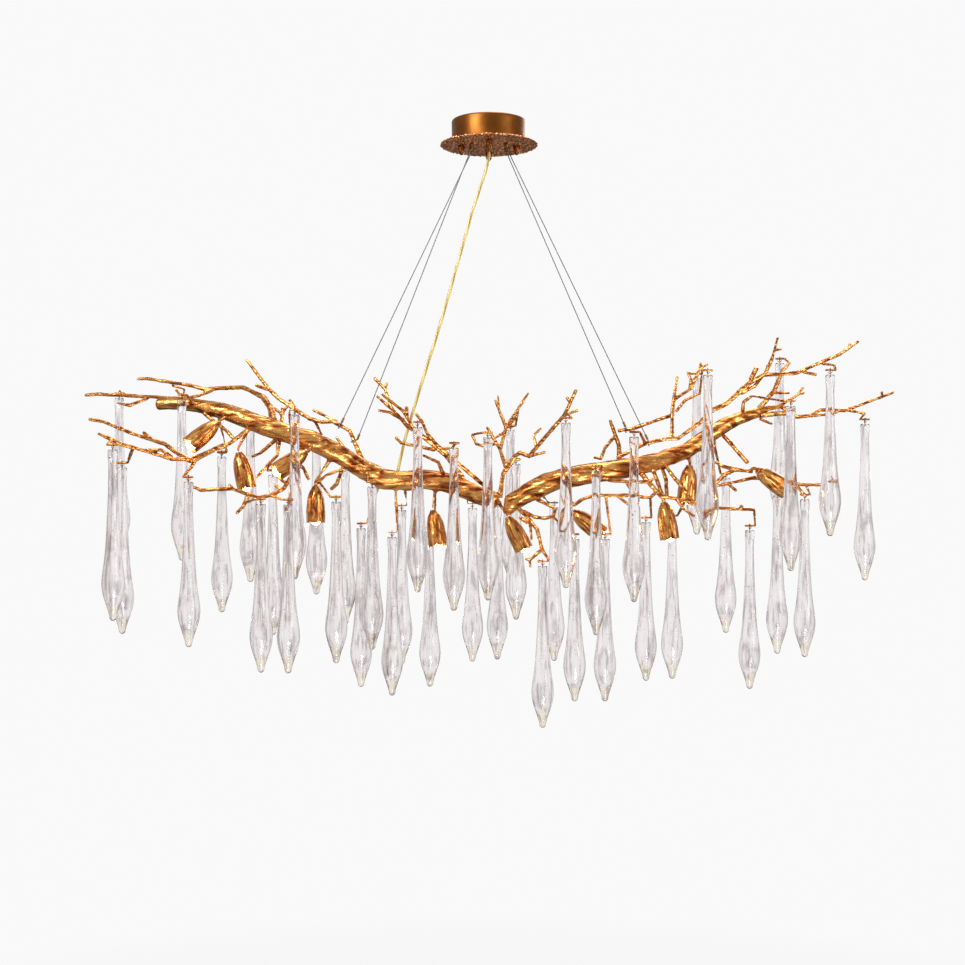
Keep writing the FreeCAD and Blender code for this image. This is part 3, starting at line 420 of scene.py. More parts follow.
def nurbs_mesh(name, points, resolution, thickness=0.0):
    """The NURBS line of some control points as a mesh, or a round wire where it has a thickness."""
    curve = bpy.data.curves.new(name, "CURVE")
    curve.dimensions = "3D"
    if thickness:
        curve.bevel_depth = thickness / 2
        curve.bevel_resolution = 1
        curve.use_fill_caps = True
    spline = curve.splines.new("NURBS")
    spline.points.add(len(points) - 1)
    for point, place in zip(spline.points, points):
        point.co = (*place, 1.0)
    spline.order_u = 3
    spline.use_endpoint_u = True
    spline.resolution_u = resolution
    carrier = bpy.data.objects.new(name, curve)
    bpy.context.scene.collection.objects.link(carrier)
    mesh = evaluated_mesh(carrier)
    bpy.data.objects.remove(carrier)
    bpy.data.curves.remove(curve)
    return mesh

# ---------------------------------------------------------------- finishes


def leafed_bronze(settings):
    """Cast zinc alloy under copper and gold leaf: metal gloss, painted highlight on the ridges and painted
    shade in the hollows.
    """
    material, tree = new_material("Copper and gold leaf on cast bark")
    place = add(tree, "ShaderNodeTexCoord").outputs["Object"]
    relief = add(tree, "ShaderNodeAttribute", attribute_name="relief").outputs["Fac"]
    # Patches of leaf about 25 mm across, and its crinkles about 2 mm apart.
    patches = add(tree, "ShaderNodeTexNoise", {"Vector": place, "Scale": 40.0, "Detail": 3.0}).outputs[0]
    crinkle = add(tree, "ShaderNodeTexNoise", {"Vector": place, "Scale": 520.0, "Detail": 4.0}).outputs[0]
    shift = add(
        tree, "ShaderNodeMath", {0: patches, 1: 0.55, 2: relief}, operation="MULTIPLY_ADD"
    ).outputs[0]
    level = add(
        tree, "ShaderNodeMath", {0: crinkle, 1: 0.30, 2: shift}, operation="MULTIPLY_ADD"
    ).outputs[0]
    leaf = add(
        tree, "ShaderNodeMapRange", {"Value": level, "From Min": 0.30, "From Max": 1.30}
    ).outputs[0]
    # Colour follows ridge height: the gold is painted highlight on the ridges and the darkest colour is
    # painted shade in the hollows; the patches and crinkles are the leaf's own uneven tone.
    shade = add(
        tree, "ShaderNodeValToRGB", {"Fac": leaf},
        stops=[(0.08, settings.painted_hollow_shade), (0.44, settings.copper), (0.86, settings.gold)],
    )
    gloss = add(
        tree, "ShaderNodeMapRange",
        {"Value": leaf, "To Min": 0.46, "To Max": 0.22},
    ).outputs[0]
    bump = add(tree, "ShaderNodeBump", {"Strength": 0.35, "Distance": 0.4 * MM, "Height": crinkle})
    shader = add(
        tree, "ShaderNodeBsdfPrincipled",
        {
            "Base Color": shade.outputs[0], "Metallic": 0.88, "Roughness": gloss,
            "Normal": bump.outputs[0],
        },
    )
    finish_material(tree, shader)
    return material


def cast_glass(settings):
    """Clear cast soda glass: a faint lilac cast, with painted shade where it is seen edge on and painted
    warm light in its lower end.
    """
    material, tree = new_material("Clear cast glass")
    place = add(tree, "ShaderNodeTexCoord").outputs["Object"]
    along = add(tree, "ShaderNodeAttribute", attribute_name="along").outputs["Fac"]
    # The warm colour near the lower end is painted light.
    body = add(
        tree, "ShaderNodeValToRGB", {"Fac": along},
        stops=[(0.0, settings.glass), (0.88, settings.glass), (0.95, settings.painted_warm_tip), (1.0, settings.glass)],
    ).outputs[0]
    # Cords drawn lengthwise in the poured glass, about 4 mm apart and 60 mm long.
    drawn = add(
        tree, "ShaderNodeVectorMath", {0: place, 1: (240.0, 240.0, 16.0)}, operation="MULTIPLY"
    ).outputs[0]
    streaks = add(
        tree, "ShaderNodeTexNoise", {"Vector": drawn, "Scale": 1.0, "Detail": 5.0, "Roughness": 0.6}
    ).outputs[0]
    lines = add(
        tree, "ShaderNodeValToRGB", {"Fac": streaks},
        stops=[(0.38, settings.edge), (0.46, "#F2EEEE"), (0.56, "#FFFFFF")],
    ).outputs[0]
    streaked = add(
        tree, "ShaderNodeMix", {0: 0.85, 6: body, 7: lines}, data_type="RGBA", blend_type="MULTIPLY"
    ).outputs[2]
    # Painted shade: the glass is darkened where it is seen edge on.
    facing = add(tree, "ShaderNodeLayerWeight", {"Blend": 0.35}).outputs["Facing"]
    edge_on = add(
        tree, "ShaderNodeMapRange", {"Value": facing, "From Min": 0.25, "From Max": 0.95}
    ).outputs[0]
    tint = add(
        tree, "ShaderNodeMix", {0: edge_on, 6: streaked, 7: linear(settings.edge)}, data_type="RGBA"
    )
    bump = add(tree, "ShaderNodeBump", {"Strength": 0.55, "Distance": 0.9 * MM, "Height": streaks})
    shader = add(
        tree, "ShaderNodeBsdfPrincipled",
        {
            "Base Color": tint.outputs[2], "Roughness": 0.02, "IOR": 1.50,
            "Transmission Weight": 1.0, "Normal": bump.outputs[0],
        },
    )
    finish_material(tree, shader)
    return material


def bubble_air():
    """An air bubble in the glass: the same clear surface, seen as a small bright ring."""
    material, tree = new_material("Air bubble in glass")
    place = add(tree, "ShaderNodeTexCoord").outputs["Object"]
    cloud = add(tree, "ShaderNodeTexNoise", {"Vector": place, "Scale": 900.0}).outputs[0]
    rough = add(
        tree, "ShaderNodeMapRange", {"Value": cloud, "To Min": 0.0, "To Max": 0.08}
    ).outputs[0]
    shader = add(
        tree, "ShaderNodeBsdfPrincipled",
        {
            "Base Color": linear("#FFFFFF"), "Roughness": rough, "IOR": 0.67,
            "Transmission Weight": 1.0,
        },
    )
    finish_material(tree, shader)
    return material


def plain_metal(name, dark, light, grain, roughness, metallic=1.0):
    """A bare or lacquered metal whose colour and gloss drift with a fine grain.

    The grain is the distance in metres over which the finish changes.
    """
    material, tree = new_material(name)
    place = add(tree, "ShaderNodeTexCoord").outputs["Object"]
    drift = add(tree, "ShaderNodeTexNoise", {"Vector": place, "Scale": 1 / grain, "Detail": 4.0}).outputs[0]
    shade = add(
        tree, "ShaderNodeValToRGB", {"Fac": drift}, stops=[(0.34, dark), (0.66, light)]
    ).outputs[0]
    gloss = add(
        tree, "ShaderNodeMapRange",
        {
            "Value": drift, "From Min": 0.3, "From Max": 0.7,
            "To Min": roughness + 0.07, "To Max": roughness - 0.05,
        },
    ).outputs[0]
    bump = add(tree, "ShaderNodeBump", {"Strength": 0.08, "Distance": 0.1 * MM, "Height": drift})
    shader = add(
        tree, "ShaderNodeBsdfPrincipled",
        {"Base Color": shade, "Metallic": metallic, "Roughness": gloss, "Normal": bump.outputs[0]},
    )
    finish_material(tree, shader)
    return material


def nugget_copper(settings):
    """Hammered copper plate: painted highlight on the nugget tops, the joints between them left dark."""
    material, tree = new_material("Hammered nugget copper")
    place = add(tree, "ShaderNodeTexCoord").outputs["Object"]
    relief = add(tree, "ShaderNodeAttribute", attribute_name="relief").outputs["Fac"]
    fine = add(tree, "ShaderNodeTexNoise", {"Vector": place, "Scale": 700.0, "Detail": 3.0}).outputs[0]
    level = add(tree, "ShaderNodeMath", {0: fine, 1: 0.3, 2: relief}, operation="MULTIPLY_ADD").outputs[0]
    # The brightest colour, on the nugget tops, is painted highlight; the dark joints are the plate's own
    # colour.
    shade = add(
        tree, "ShaderNodeValToRGB", {"Fac": level},
        stops=[(0.12, "#6A2A0A"), (0.48, "#C0622A"), (0.92, settings.bright)],
    ).outputs[0]
    bump = add(tree, "ShaderNodeBump", {"Strength": 0.3, "Distance": 0.3 * MM, "Height": fine})
    shader = add(
        tree, "ShaderNodeBsdfPrincipled",
        {"Base Color": shade, "Metallic": 0.80, "Roughness": 0.30, "Normal": bump.outputs[0]},
    )
    finish_material(tree, shader)
    return material


def lit_glass(settings):
    """The lit bulb: warm frosted glass whose glow drifts between two warm shades."""
    material, tree = new_material("Lit frosted bulb glass")
    place = add(tree, "ShaderNodeTexCoord").outputs["Object"]
    cloud = add(tree, "ShaderNodeTexNoise", {"Vector": place, "Scale": 160.0}).outputs[0]
    shade = add(
        tree, "ShaderNodeValToRGB", {"Fac": cloud}, stops=[(0.3, settings.glow), (0.7, "#FFE2AE")]
    ).outputs[0]
    shader = add(
        tree, "ShaderNodeBsdfPrincipled",
        {
            "Base Color": shade, "Roughness": 0.4, "Emission Color": shade,
            "Emission Strength": settings.glow_strength,
        },
    )
    finish_material(tree, shader)
    return material


def moulded(name, shade, roughness, grain):
    """A moulded or glazed white piece whose shade drifts a little over a grain in metres."""
    material, tree = new_material(name)
    place = add(tree, "ShaderNodeTexCoord").outputs["Object"]
    drift = add(tree, "ShaderNodeTexNoise", {"Vector": place, "Scale": 1 / grain}).outputs[0]
    paler = add(
        tree, "ShaderNodeHueSaturation", {"Value": 0.94, "Color": linear(shade)}
    ).outputs[0]
    mix = add(tree, "ShaderNodeMix", {0: drift, 6: paler, 7: linear(shade)}, data_type="RGBA")
    shader = add(
        tree, "ShaderNodeBsdfPrincipled", {"Base Color": mix.outputs[2], "Roughness": roughness}
    )
    finish_material(tree, shader)
    return material


def strand_level(tree):
    """From 0 in the lines between wound strands to 1 on the strands."""
    turn = add(tree, "ShaderNodeAttribute", attribute_name="strand").outputs["Fac"]
    wave = add(tree, "ShaderNodeMath", {0: turn}, operation="SINE").outputs[0]
    level = add(
        tree, "ShaderNodeMapRange", {"Value": wave, "From Min": -1.0, "From Max": 1.0}
    ).outputs[0]
    return level


def wire_rope(settings):
    """Galvanised wire rope: strands that wind round, with painted shade in the lines between them."""
    material, tree = new_material("Galvanised wire rope")
    level = strand_level(tree)
    # The dark colour in the lines between strands is painted shade.
    shade = add(
        tree, "ShaderNodeValToRGB", {"Fac": level}, stops=[(0.05, "#4C4E52"), (0.45, settings.steel)]
    ).outputs[0]
    bump = add(tree, "ShaderNodeBump", {"Strength": 0.6, "Distance": 0.2 * MM, "Height": level})
    shader = add(
        tree, "ShaderNodeBsdfPrincipled",
        {"Base Color": shade, "Metallic": 1.0, "Roughness": 0.36, "Normal": bump.outputs[0]},
    )
    finish_material(tree, shader)
    return material


def clear_cord(settings):
    """Clear gold PVC over two twisted cores, which show as darker lines wound inside it, with painted
    highlight midway between them.
    """
    material, tree = new_material("Clear gold PVC cord")
    level = strand_level(tree)
    # The palest colour, midway between the cores, is painted highlight.
    shade = add(
        tree, "ShaderNodeValToRGB", {"Fac": level},
        stops=[(0.10, settings.core), (0.45, settings.gold), (0.95, "#F8E894")],
    ).outputs[0]
    shader = add(
        tree, "ShaderNodeBsdfPrincipled",
        {
            "Base Color": shade, "Roughness": 0.16, "Transmission Weight": 0.35, "IOR": 1.52,
            "Coat Weight": 0.6, "Coat Roughness": 0.08,
        },
    )
    finish_material(tree, shader)
    return material

# ---------------------------------------------------------------- boughs

TRUNKS = ("main_branch_left", "main_branch_right")
TWIGS = ("branch_left", "branch_upper_left", "branch_centre", "branch_right", "branch_lower")
TRUNK_KNOTS = {"Knot height": 4.5 * MM, "Knot size": 30 * MM, "Fullness": 0.9 * MM}
TWIG_KNOTS = {"Knot height": 1.8 * MM, "Knot size": 12 * MM, "Fullness": 0.35 * MM}
# A twig's ridges are finer than a main branch's by this share.
TWIG_SHARE = 0.6
# How often a bough's skin is smoothed before the bark is raised on it.
TRUNK_PASSES = 26
TWIG_PASSES = 3


def bark_tree():
    """Bark on a smooth bough: ridges that run along it, twisting a little, and knots.

    The ridge height is also kept on the points, for the leaf's colour, which paints highlight on the ridges
    and shade in the hollows.
    """
    tree, given = new_tree(
        "Cast bark",
        [
            ("Ridge height", "NodeSocketFloat"),
            ("Ridge size", "NodeSocketVector"),
            ("Knot height", "NodeSocketFloat"),
            ("Knot size", "NodeSocketFloat"),
            ("Fullness", "NodeSocketFloat"),
            ("Leaf", "NodeSocketMaterial"),
        ],
    )
    place = add(tree, "GeometryNodeInputPosition").outputs[0]
    scale = add(
        tree, "ShaderNodeVectorMath", {0: (1.0, 1.0, 1.0), 1: given.outputs["Ridge size"]},
        operation="DIVIDE",
    ).outputs[0]
    stretched = add(tree, "ShaderNodeVectorMath", {0: place, 1: scale}, operation="MULTIPLY").outputs[0]
    ridges = add(
        tree, "ShaderNodeTexNoise",
        {"Vector": stretched, "Scale": 1.0, "Detail": 2.0, "Roughness": 0.5, "Distortion": 0.5},
    ).outputs[0]
    sharp = add(
        tree, "ShaderNodeMapRange", {"Value": ridges, "From Min": 0.30, "From Max": 0.70}
    ).outputs[0]
    knot_scale = add(tree, "ShaderNodeMath", {0: 1.0, 1: given.outputs["Knot size"]}, operation="DIVIDE")
    knots = add(
        tree, "ShaderNodeTexNoise", {"Vector": place, "Scale": knot_scale.outputs[0], "Detail": 1.0}
    ).outputs[0]
    rise = given.outputs["Fullness"]
    for pattern, height in ((sharp, "Ridge height"), (knots, "Knot height")):
        centred = add(tree, "ShaderNodeMath", {0: pattern, 1: -0.5}, operation="ADD").outputs[0]
        rise = add(
            tree, "ShaderNodeMath", {0: centred, 1: given.outputs[height], 2: rise},
            operation="MULTIPLY_ADD",
        ).outputs[0]
    return raised_skin(tree, given, rise, sharp, given.outputs["Leaf"])


def rounded_bough(node, grid, passes):
    """A CAD bough with its flat sides and welds smoothed into one skin."""
    carrier = new_object(f"{node}_skin", merged_copy(f"{node}_skin", node))
    remesh = carrier.modifiers.new("Skin", "REMESH")
    remesh.mode = "VOXEL"
    remesh.voxel_size = grid
    soft = carrier.modifiers.new("Soft", "SMOOTH")
    soft.factor = 0.5
    soft.iterations = passes
    baked_modifiers(carrier)
    mesh = carrier.data
    bpy.data.objects.remove(carrier)
    return mesh


class BuildBoughs(Operator):
    """Cast boughs with bark ridges and knots, finished in copper and gold leaf"""

    bl_idname = "chandelier.boughs"
    bl_label = "Boughs"

    def execute(self, context):
        settings = context.scene.chandelier_boughs
        leaf = leafed_bronze(settings)
        bark = bark_tree()
        for node in TRUNKS + TWIGS:
            trunk = node in TRUNKS
            share = 1.0 if trunk else TWIG_SHARE
            spacing = settings.ridge_spacing * share
            grid = settings.trunk_grid if trunk else settings.twig_grid
            mesh = run_nodes(
                f"{node}_cast", rounded_bough(node, grid, TRUNK_PASSES if trunk else TWIG_PASSES), bark,
                {
                    "Ridge height": settings.trunk_ridge if trunk else settings.twig_ridge,
                    "Ridge size": (settings.ridge_length * share, spacing, spacing),
                    "Leaf": leaf,
                    **(TRUNK_KNOTS if trunk else TWIG_KNOTS),
                },
            )
            bough = new_object(f"{node}_cast", mesh)
            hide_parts(node)
            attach(bough, "fixture")
        return {"FINISHED"}


# ---------------------------------------------------------------- drops

DROP_LENGTH = 235 * MM
DROP_STEPS = 94
# Down from the top of a drop, and its width there.
DROP_PROFILE = from_mm(0.0, [
    (0.0, 12.5), (3.0, 14.0), (9.0, 14.0), (20.0, 12.0), (45.0, 12.8), (90.0, 16.6), (130.0, 20.8),
    (158.0, 26.5), (174.0, 31.2), (184.0, 32.6), (195.0, 30.4), (206.0, 24.6), (216.0, 17.6),
    (225.0, 12.0), (231.0, 9.6), (234.2, 7.4), (235.0, 4.0),
])
# Down from the top of a drop in millimetres, and its depth there as a share of its width.
DROP_FLATNESS = [(0.0, 0.30), (8.0, 0.34), (22.0, 0.76), (40.0, 0.82), (235.0, 0.82)]
HOLE_DOWN = 3.0 * MM
HOLE_RADIUS = 1.5 * MM
HOLE_SIDES = 20
# The hole's cutter stands out of the drop by this much in front and behind.
HOLE_CUT = 9 * MM
# How far a drop's section leaves a round one towards a three-sided one.
THREE_SIDED = 0.075
# From the middle of a twig to the wire over it, in millimetres.
WIRE_OVER = 2.95
LINK_REACH = 10 * MM
# From the middle of a drop to its side.
DROP_HALF = 17 * MM
# The CAD link's outer top over the middle of its twig: half the square twig, play and wire.
LINK_RISE = (2.0 * math.cos(math.pi / 4) + 0.3 + 1.2) * MM


def hook_places(node):
    """The middle of the twig over each drop of a CAD node, read from its link's top."""
    points = [v.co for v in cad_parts[node].data.vertices]
    low = min(p.x for p in points)
    high = max(p.x for p in points)
    single = high - low < 3 * DROP_HALF
    middles = [low + DROP_HALF] if single else [low + DROP_HALF, high - DROP_HALF]
    places = []
    for x in middles:
        near = [p for p in points if abs(p.x - x) < 1.5 * MM]
        top = max(p.z for p in near)
        link = [p.y for p in near if p.z > top - 0.1 * MM]
        places.append(Vector((x, (min(link) + max(link)) / 2, top - LINK_RISE)))
    return places


def glass_master(settings):
    """One drop: a flat eye, a slim neck and a long three-sided bulb with a nipple."""
    sides = settings.sides
    widths = smooth_steps(DROP_PROFILE, DROP_STEPS)
    flats = smooth_steps([(d * MM, f) for d, f in DROP_FLATNESS], DROP_STEPS)
    rings = []
    along = []
    for (down, width), (_, flat) in zip(widths, flats):
        ring = []
        three_sided = THREE_SIDED * min(1.0, max(0.0, (down - 25 * MM) / (60 * MM)))
        for i in range(sides):
            angle = 2 * math.pi * i / sides
            reach = width / 2 * (1 + three_sided * (math.cos(3 * (angle + math.pi / 2)) - 0.35))
            ring.append(Vector((reach * math.cos(angle), reach * flat * math.sin(angle), HOLE_DOWN - down)))
            along.append(down / DROP_LENGTH)
        rings.append(ring)
    vertices, faces = loft(rings)
    along += [0.0, 1.0]
    mesh = outward(mesh_from("drop_glass", vertices, faces, {"along": along}))
    body = new_object("drop_master", mesh)
    hole = circle(HOLE_RADIUS, 0.0, HOLE_SIDES)
    cutter_rings = [[Vector((p.x, y, p.y)) for p in hole] for y in (-HOLE_CUT, HOLE_CUT)]
    cutter = new_object("drop_hole", outward(mesh_from("drop_hole", *loft(cutter_rings))))
    cut = body.modifiers.new("Hole", "BOOLEAN")
    cut.object = cutter
    cut.solver = "EXACT"
    baked_modifiers(body)
    mesh = body.data
    bpy.data.objects.remove(body)
    bpy.data.objects.remove(cutter)
    return mesh


def bubble_tree():
    """Air bubbles scattered inside a drop, spread out further where the drop is wider."""
    tree, given = new_tree(
        "Bubbles in glass",
        [
            ("Count", "NodeSocketInt"),
            ("Size", "NodeSocketFloat"),
            ("Seed", "NodeSocketInt"),
            ("Bubble", "NodeSocketMaterial"),
        ],
    )
    field = add(tree, "GeometryNodePoints", {"Count": given.outputs["Count"]}).outputs[0]
    # What is drawn for each bubble, its own shift of the seed, and its lowest and highest value.
    drawn = {}
    for name, shift, lowest, highest in (
        ("down", 0, 0.18, 0.90), ("turn", 101, 0.0, 2 * math.pi),
        ("out", 202, 0.0, 1.0), ("size", 303, 0.3, 1.0),
    ):
        seed = add(
            tree, "FunctionNodeIntegerMath", {0: given.outputs["Seed"], 1: shift}, operation="ADD"
        ).outputs[0]
        drawn[name] = add(
            tree, "FunctionNodeRandomValue", {"Seed": seed, 2: lowest, 3: highest}, data_type="FLOAT"
        ).outputs[1]
    # The drop's half width at a share of its length, drawn as a ramp of grey.
    half = add(
        tree, "ShaderNodeValToRGB", {"Fac": drawn["down"]},
        stops=[(0.1, 0.24), (0.4, 0.36), (0.62, 0.52), (0.80, 0.78), (0.88, 0.50), (0.95, 0.15)],
    ).outputs[0]
    spread = add(tree, "ShaderNodeMath", {0: half, 1: 13 * MM}, operation="MULTIPLY").outputs[0]
    reach = add(tree, "ShaderNodeMath", {0: drawn["out"], 1: spread}, operation="MULTIPLY").outputs[0]
    level = {}
    for axis, wave in (("X", "COSINE"), ("Y", "SINE")):
        share = add(tree, "ShaderNodeMath", {0: drawn["turn"]}, operation=wave).outputs[0]
        level[axis] = add(tree, "ShaderNodeMath", {0: reach, 1: share}, operation="MULTIPLY").outputs[0]
    height = add(
        tree, "ShaderNodeMath", {0: drawn["down"], 1: -DROP_LENGTH, 2: HOLE_DOWN},
        operation="MULTIPLY_ADD",
    ).outputs[0]
    place = add(tree, "ShaderNodeCombineXYZ", {**level, "Z": height}).outputs[0]
    placed = add(tree, "GeometryNodeSetPosition", {"Geometry": field, "Position": place}).outputs[0]
    ball = add(
        tree, "GeometryNodeMeshIcoSphere", {"Radius": given.outputs["Size"], "Subdivisions": 2}
    ).outputs[0]
    soft = add(tree, "GeometryNodeSetShadeSmooth", {"Geometry": ball}).outputs[0]
    balls = add(
        tree, "GeometryNodeInstanceOnPoints", {"Points": placed, "Instance": soft, "Scale": drawn["size"]}
    ).outputs[0]
    end_tree(tree, balls, given.outputs["Bubble"])
    return tree


def wire_path(seed):
    """The copper wire of one drop: through the eye, over the twig, twisted below it."""
    draw = random.Random(seed)
    lean = draw.uniform(-0.3, 0.3)
    tail = draw.uniform(2.5, 4.5)
    over = WIRE_OVER
    side = 1 if draw.random() < 0.5 else -1
    eye = -LINK_REACH / MM
    points = (
        (side * 2.2, -tail * 0.8, -4.6 + tail * 0.5), (side * 1.1, -1.6, -4.9), (0.4, 0.5, -5.0),
        (lean, over + 0.8, -1.4), (lean, over * 0.75, over * 0.72), (lean, 0.0, over + 0.1),
        (lean, -over * 0.75, over * 0.72), (lean, -over - 0.8, -1.4),
        (-0.5, -0.9, -4.6), (0.3, 0.6, -5.8), (0.2, 2.6, eye + 2.2), (0.0, 2.7, eye - 0.2),
        (0.0, 0.0, eye + 0.1), (0.0, -2.7, eye - 0.2), (-0.2, -2.6, eye + 2.2),
        (-0.4, -1.2, -5.9), (-0.6, 0.9, -5.3), (-side * 1.6, 2.4, -4.6),
        (-side * 3.0, tail * 0.7, -4.2 + tail * 0.35),
    )
    return [(x * MM, y * MM, z * MM) for x, y, z in points]


def joined(name, meshes_at):
    """One mesh from several, each moved to its place; their materials and numbers stay."""
    work = bmesh.new()
    slots = []
    for mesh, place in meshes_at:
        moved = mesh.copy()
        moved.transform(Matrix.Translation(place))
        offset = len(slots)
        slots.extend(mesh.materials)
        start = len(work.faces)
        work.from_mesh(moved)
        work.faces.ensure_lookup_table()
        for face in work.faces[start:]:
            face.material_index += offset
        bpy.data.meshes.remove(moved)
    whole = bpy.data.meshes.new(name)
    work.to_mesh(whole)
    work.free()
    for material in slots:
        whole.materials.append(material)
    return whole


class BuildDrops(Operator):
    """Glass drops with their air bubbles, each on a twisted copper wire over its twig"""

    bl_idname = "chandelier.drops"
    bl_label = "Glass drops"

    def execute(self, context):
        settings = context.scene.chandelier_drops
        glass = cast_glass(settings)
        air = bubble_air()
        copper = plain_metal("Soft copper wire", "#7C4322", settings.wire_colour, 4 * MM, 0.34)
        master = glass_master(settings)
        master.materials.clear()
        master.materials.append(glass)
        scatter = bubble_tree()
        seed = 0
        for node in sorted(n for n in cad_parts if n.startswith("drop_")):
            glasses = []
            wires = []
            for place in hook_places(node):
                seed += 1
                eye = place - Vector((0, 0, LINK_REACH))
                bubbles = run_nodes(
                    "bubbles", bpy.data.meshes.new("none"), scatter,
                    {"Count": settings.bubbles, "Size": settings.bubble, "Seed": seed, "Bubble": air},
                )
                glasses += [(master, eye), (bubbles, eye)]
                wires.append((nurbs_mesh("wire", wire_path(seed), 3, settings.wire), place))
            drop = new_object(f"{node}_glass", joined(f"{node}_glass", glasses))
            wire = new_object(f"{node}_wire", joined(f"{node}_wire", wires), copper)
            for piece, slot in ((drop, "drop_glass"), (wire, "bough_bronze")):
                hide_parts(node)
                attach(piece, node)
        return {"FINISHED"}


# ---------------------------------------------------------------- lamps

POD_LENGTH = 54 * MM
POD_SIDES = 72
POD_STEPS = 40
# Along a pod from its neck, and its width there.
POD_PROFILE = from_mm(0.0, [
    (0.0, 9.0), (2.0, 10.5), (5.0, 14.5), (9.0, 19.0), (16.0, 23.0), (26.0, 26.2), (38.0, 27.6),
    (48.0, 27.9), (54.0, 27.4),
])
POD_WALL = 1.3 * MM
POD_FLOOR = 12 * MM
SOCKET_END = 29 * MM
BULB_END = 58 * MM
SOCKET_PROFILE = (
    from_mm(POD_FLOOR, [(0.0, 11.8), (1.0, 12.4)])
    + from_mm(SOCKET_END, [(-3.0, 14.6), (-1.0, 14.8), (0.0, 13.0)])
)
BULB_PROFILE = (
    from_mm(SOCKET_END, [(0.0, 10.0), (3.0, 12.5), (8.0, 14.5)])
    + from_mm(BULB_END, [(-7.0, 14.5), (-2.5, 10.0), (0.0, 2.0)])
)


def lamp_frames():
    """Where each pod's neck is and which way it points, read from the CAD pods."""
    frames = []
    for points in islands("lamp_cups"):
        middle, direction, low, high, along = long_axis(points)
        radial = numpy.linalg.norm(points - numpy.array(middle) - numpy.outer(along, direction), axis=1)
        span = high - low
        if radial[along < low + 0.05 * span].max() < radial[along > high - 0.05 * span].max():
            frames.append(frame_along(middle + direction * low, direction))
        else:
            frames.append(frame_along(middle + direction * high, -direction))
    return frames


def pod_master(settings):
    """One seed-pod holder: petal lobes outside, a scalloped mouth and a thin wall."""
    steps = smooth_steps(POD_PROFILE, POD_STEPS)

    def ring_at(height, width, inset, lobed):
        ring = []
        share = height / POD_LENGTH
        for i in range(POD_SIDES):
            angle = 2 * math.pi * i / POD_SIDES
            lobe = abs(math.cos(settings.lobes * angle / 2))
            vein = 0.25 * MM * math.cos(6 * settings.lobes * angle + 9 * share) ** 8
            reach = width / 2 - inset - settings.lobe_depth * share ** 0.5 * (1 - lobe) ** 2 + vein * lobed
            mouth = 2.6 * MM * (1 - lobe) ** 2 * max(0.0, (share - 0.8) / 0.2)
            ring.append(Vector((reach * math.cos(angle), reach * math.sin(angle), height - mouth)))
        return ring

    rings = [ring_at(height, width, 0.0, 1.0) for height, width in steps]
    inner = [s for s in steps if s[0] >= POD_FLOOR]
    rings += [ring_at(height, width, POD_WALL, 0.0) for height, width in reversed(inner)]
    return outward(mesh_from("pod", *loft(rings)))


def turned_mesh(name, profile, sides, steps):
    """A piece turned about +Z through (height, width) stations, smoothed between them."""
    rings = [circle(width / 2, height, sides) for height, width in smooth_steps(profile, steps)]
    return outward(mesh_from(name, *loft(rings)))


class BuildLamps(Operator):
    """Seed-pod lamp holders with their ceramic sockets and lit bulbs"""

    bl_idname = "chandelier.lamps"
    bl_label = "Lamps"

    def execute(self, context):
        settings = context.scene.chandelier_lamps
        leaf = leafed_bronze(context.scene.chandelier_boughs)
        glow = lit_glass(settings)
        ceramic = moulded("White glazed ceramic", settings.ceramic, 0.22, 6 * MM)
        bark = bark_tree()
        pod = run_nodes(
            "pod", pod_master(settings), bark,
            {
                "Ridge height": 0.6 * MM, "Ridge size": (3.5 * MM, 3.5 * MM, 22 * MM),
                "Knot height": 0.5 * MM, "Knot size": 9 * MM, "Fullness": 0.0, "Leaf": leaf,
            },
        )
        socket = turned_mesh("socket", SOCKET_PROFILE, 36, 16)
        bulb = turned_mesh("bulb", BULB_PROFILE, 32, 24)
        for name, node, mesh, material, slot in (
            ("lamp_pods", "lamp_cups", pod, leaf, "bough_bronze"),
            ("lamp_ceramics", "lamp_sockets", socket, ceramic, "socket_ceramic"),
            ("lamp_glow", "lamp_bulbs", bulb, glow, "bulb_glass"),
        ):
            parts = []
            for place in lamp_frames():
                one = mesh.copy()
                one.transform(place)
                parts.append((one, Vector()))
            piece = new_object(name, joined(name, parts), material)
            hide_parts(node)
            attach(piece, "fixture")
        return {"FINISHED"}

# ---------------------------------------------------------------- canopy

CAN_RADIUS = 55.5 * MM
CAN_WALL = 1.2 * MM
CAN_LIP = 48.3 * MM
CAN_HEIGHT = 35 * MM
PLATE_RADIUS = 72.5 * MM
PLATE_THICK = 2.5 * MM
PLATE_BOTTOM = -CAN_HEIGHT - PLATE_THICK
STUD_CIRCLE = 41 * MM
NUT_TOP = PLATE_BOTTOM + 0.2 * MM
# Heights and widths: of a nut under the plate, and of a gripper and the bush about its face.
NUT_PROFILE = from_mm(NUT_TOP, [
    (-14.0, 0.8), (-13.2, 3.6), (-11.6, 6.6), (-9.0, 8.8), (-6.4, 9.6), (-5.8, 8.4), (-5.2, 9.8),
    (-1.0, 10.0), (0.0, 9.6),
])
GLAND_PROFILE = from_mm(0.0, [
    (-6.0, 3.0), (-5.8, 5.0), (-4.6, 5.6), (-1.6, 7.4), (-0.6, 8.0), (0.0, 7.8), (0.4, 4.6), (8.4, 4.5),
])
BUSH_PROFILE = from_mm(0.0, [
    (-9.0, 4.2), (-8.6, 7.6), (-7.0, 8.2), (-6.6, 7.8), (-1.4, 10.8), (-0.8, 12.0), (0.0, 11.8),
    (0.4, 7.0), (7.4, 6.9),
])
# The grid of the plate's skin: from ring to ring, and points round each ring.
PLATE_STEP = 0.9 * MM
PLATE_SIDES = 400


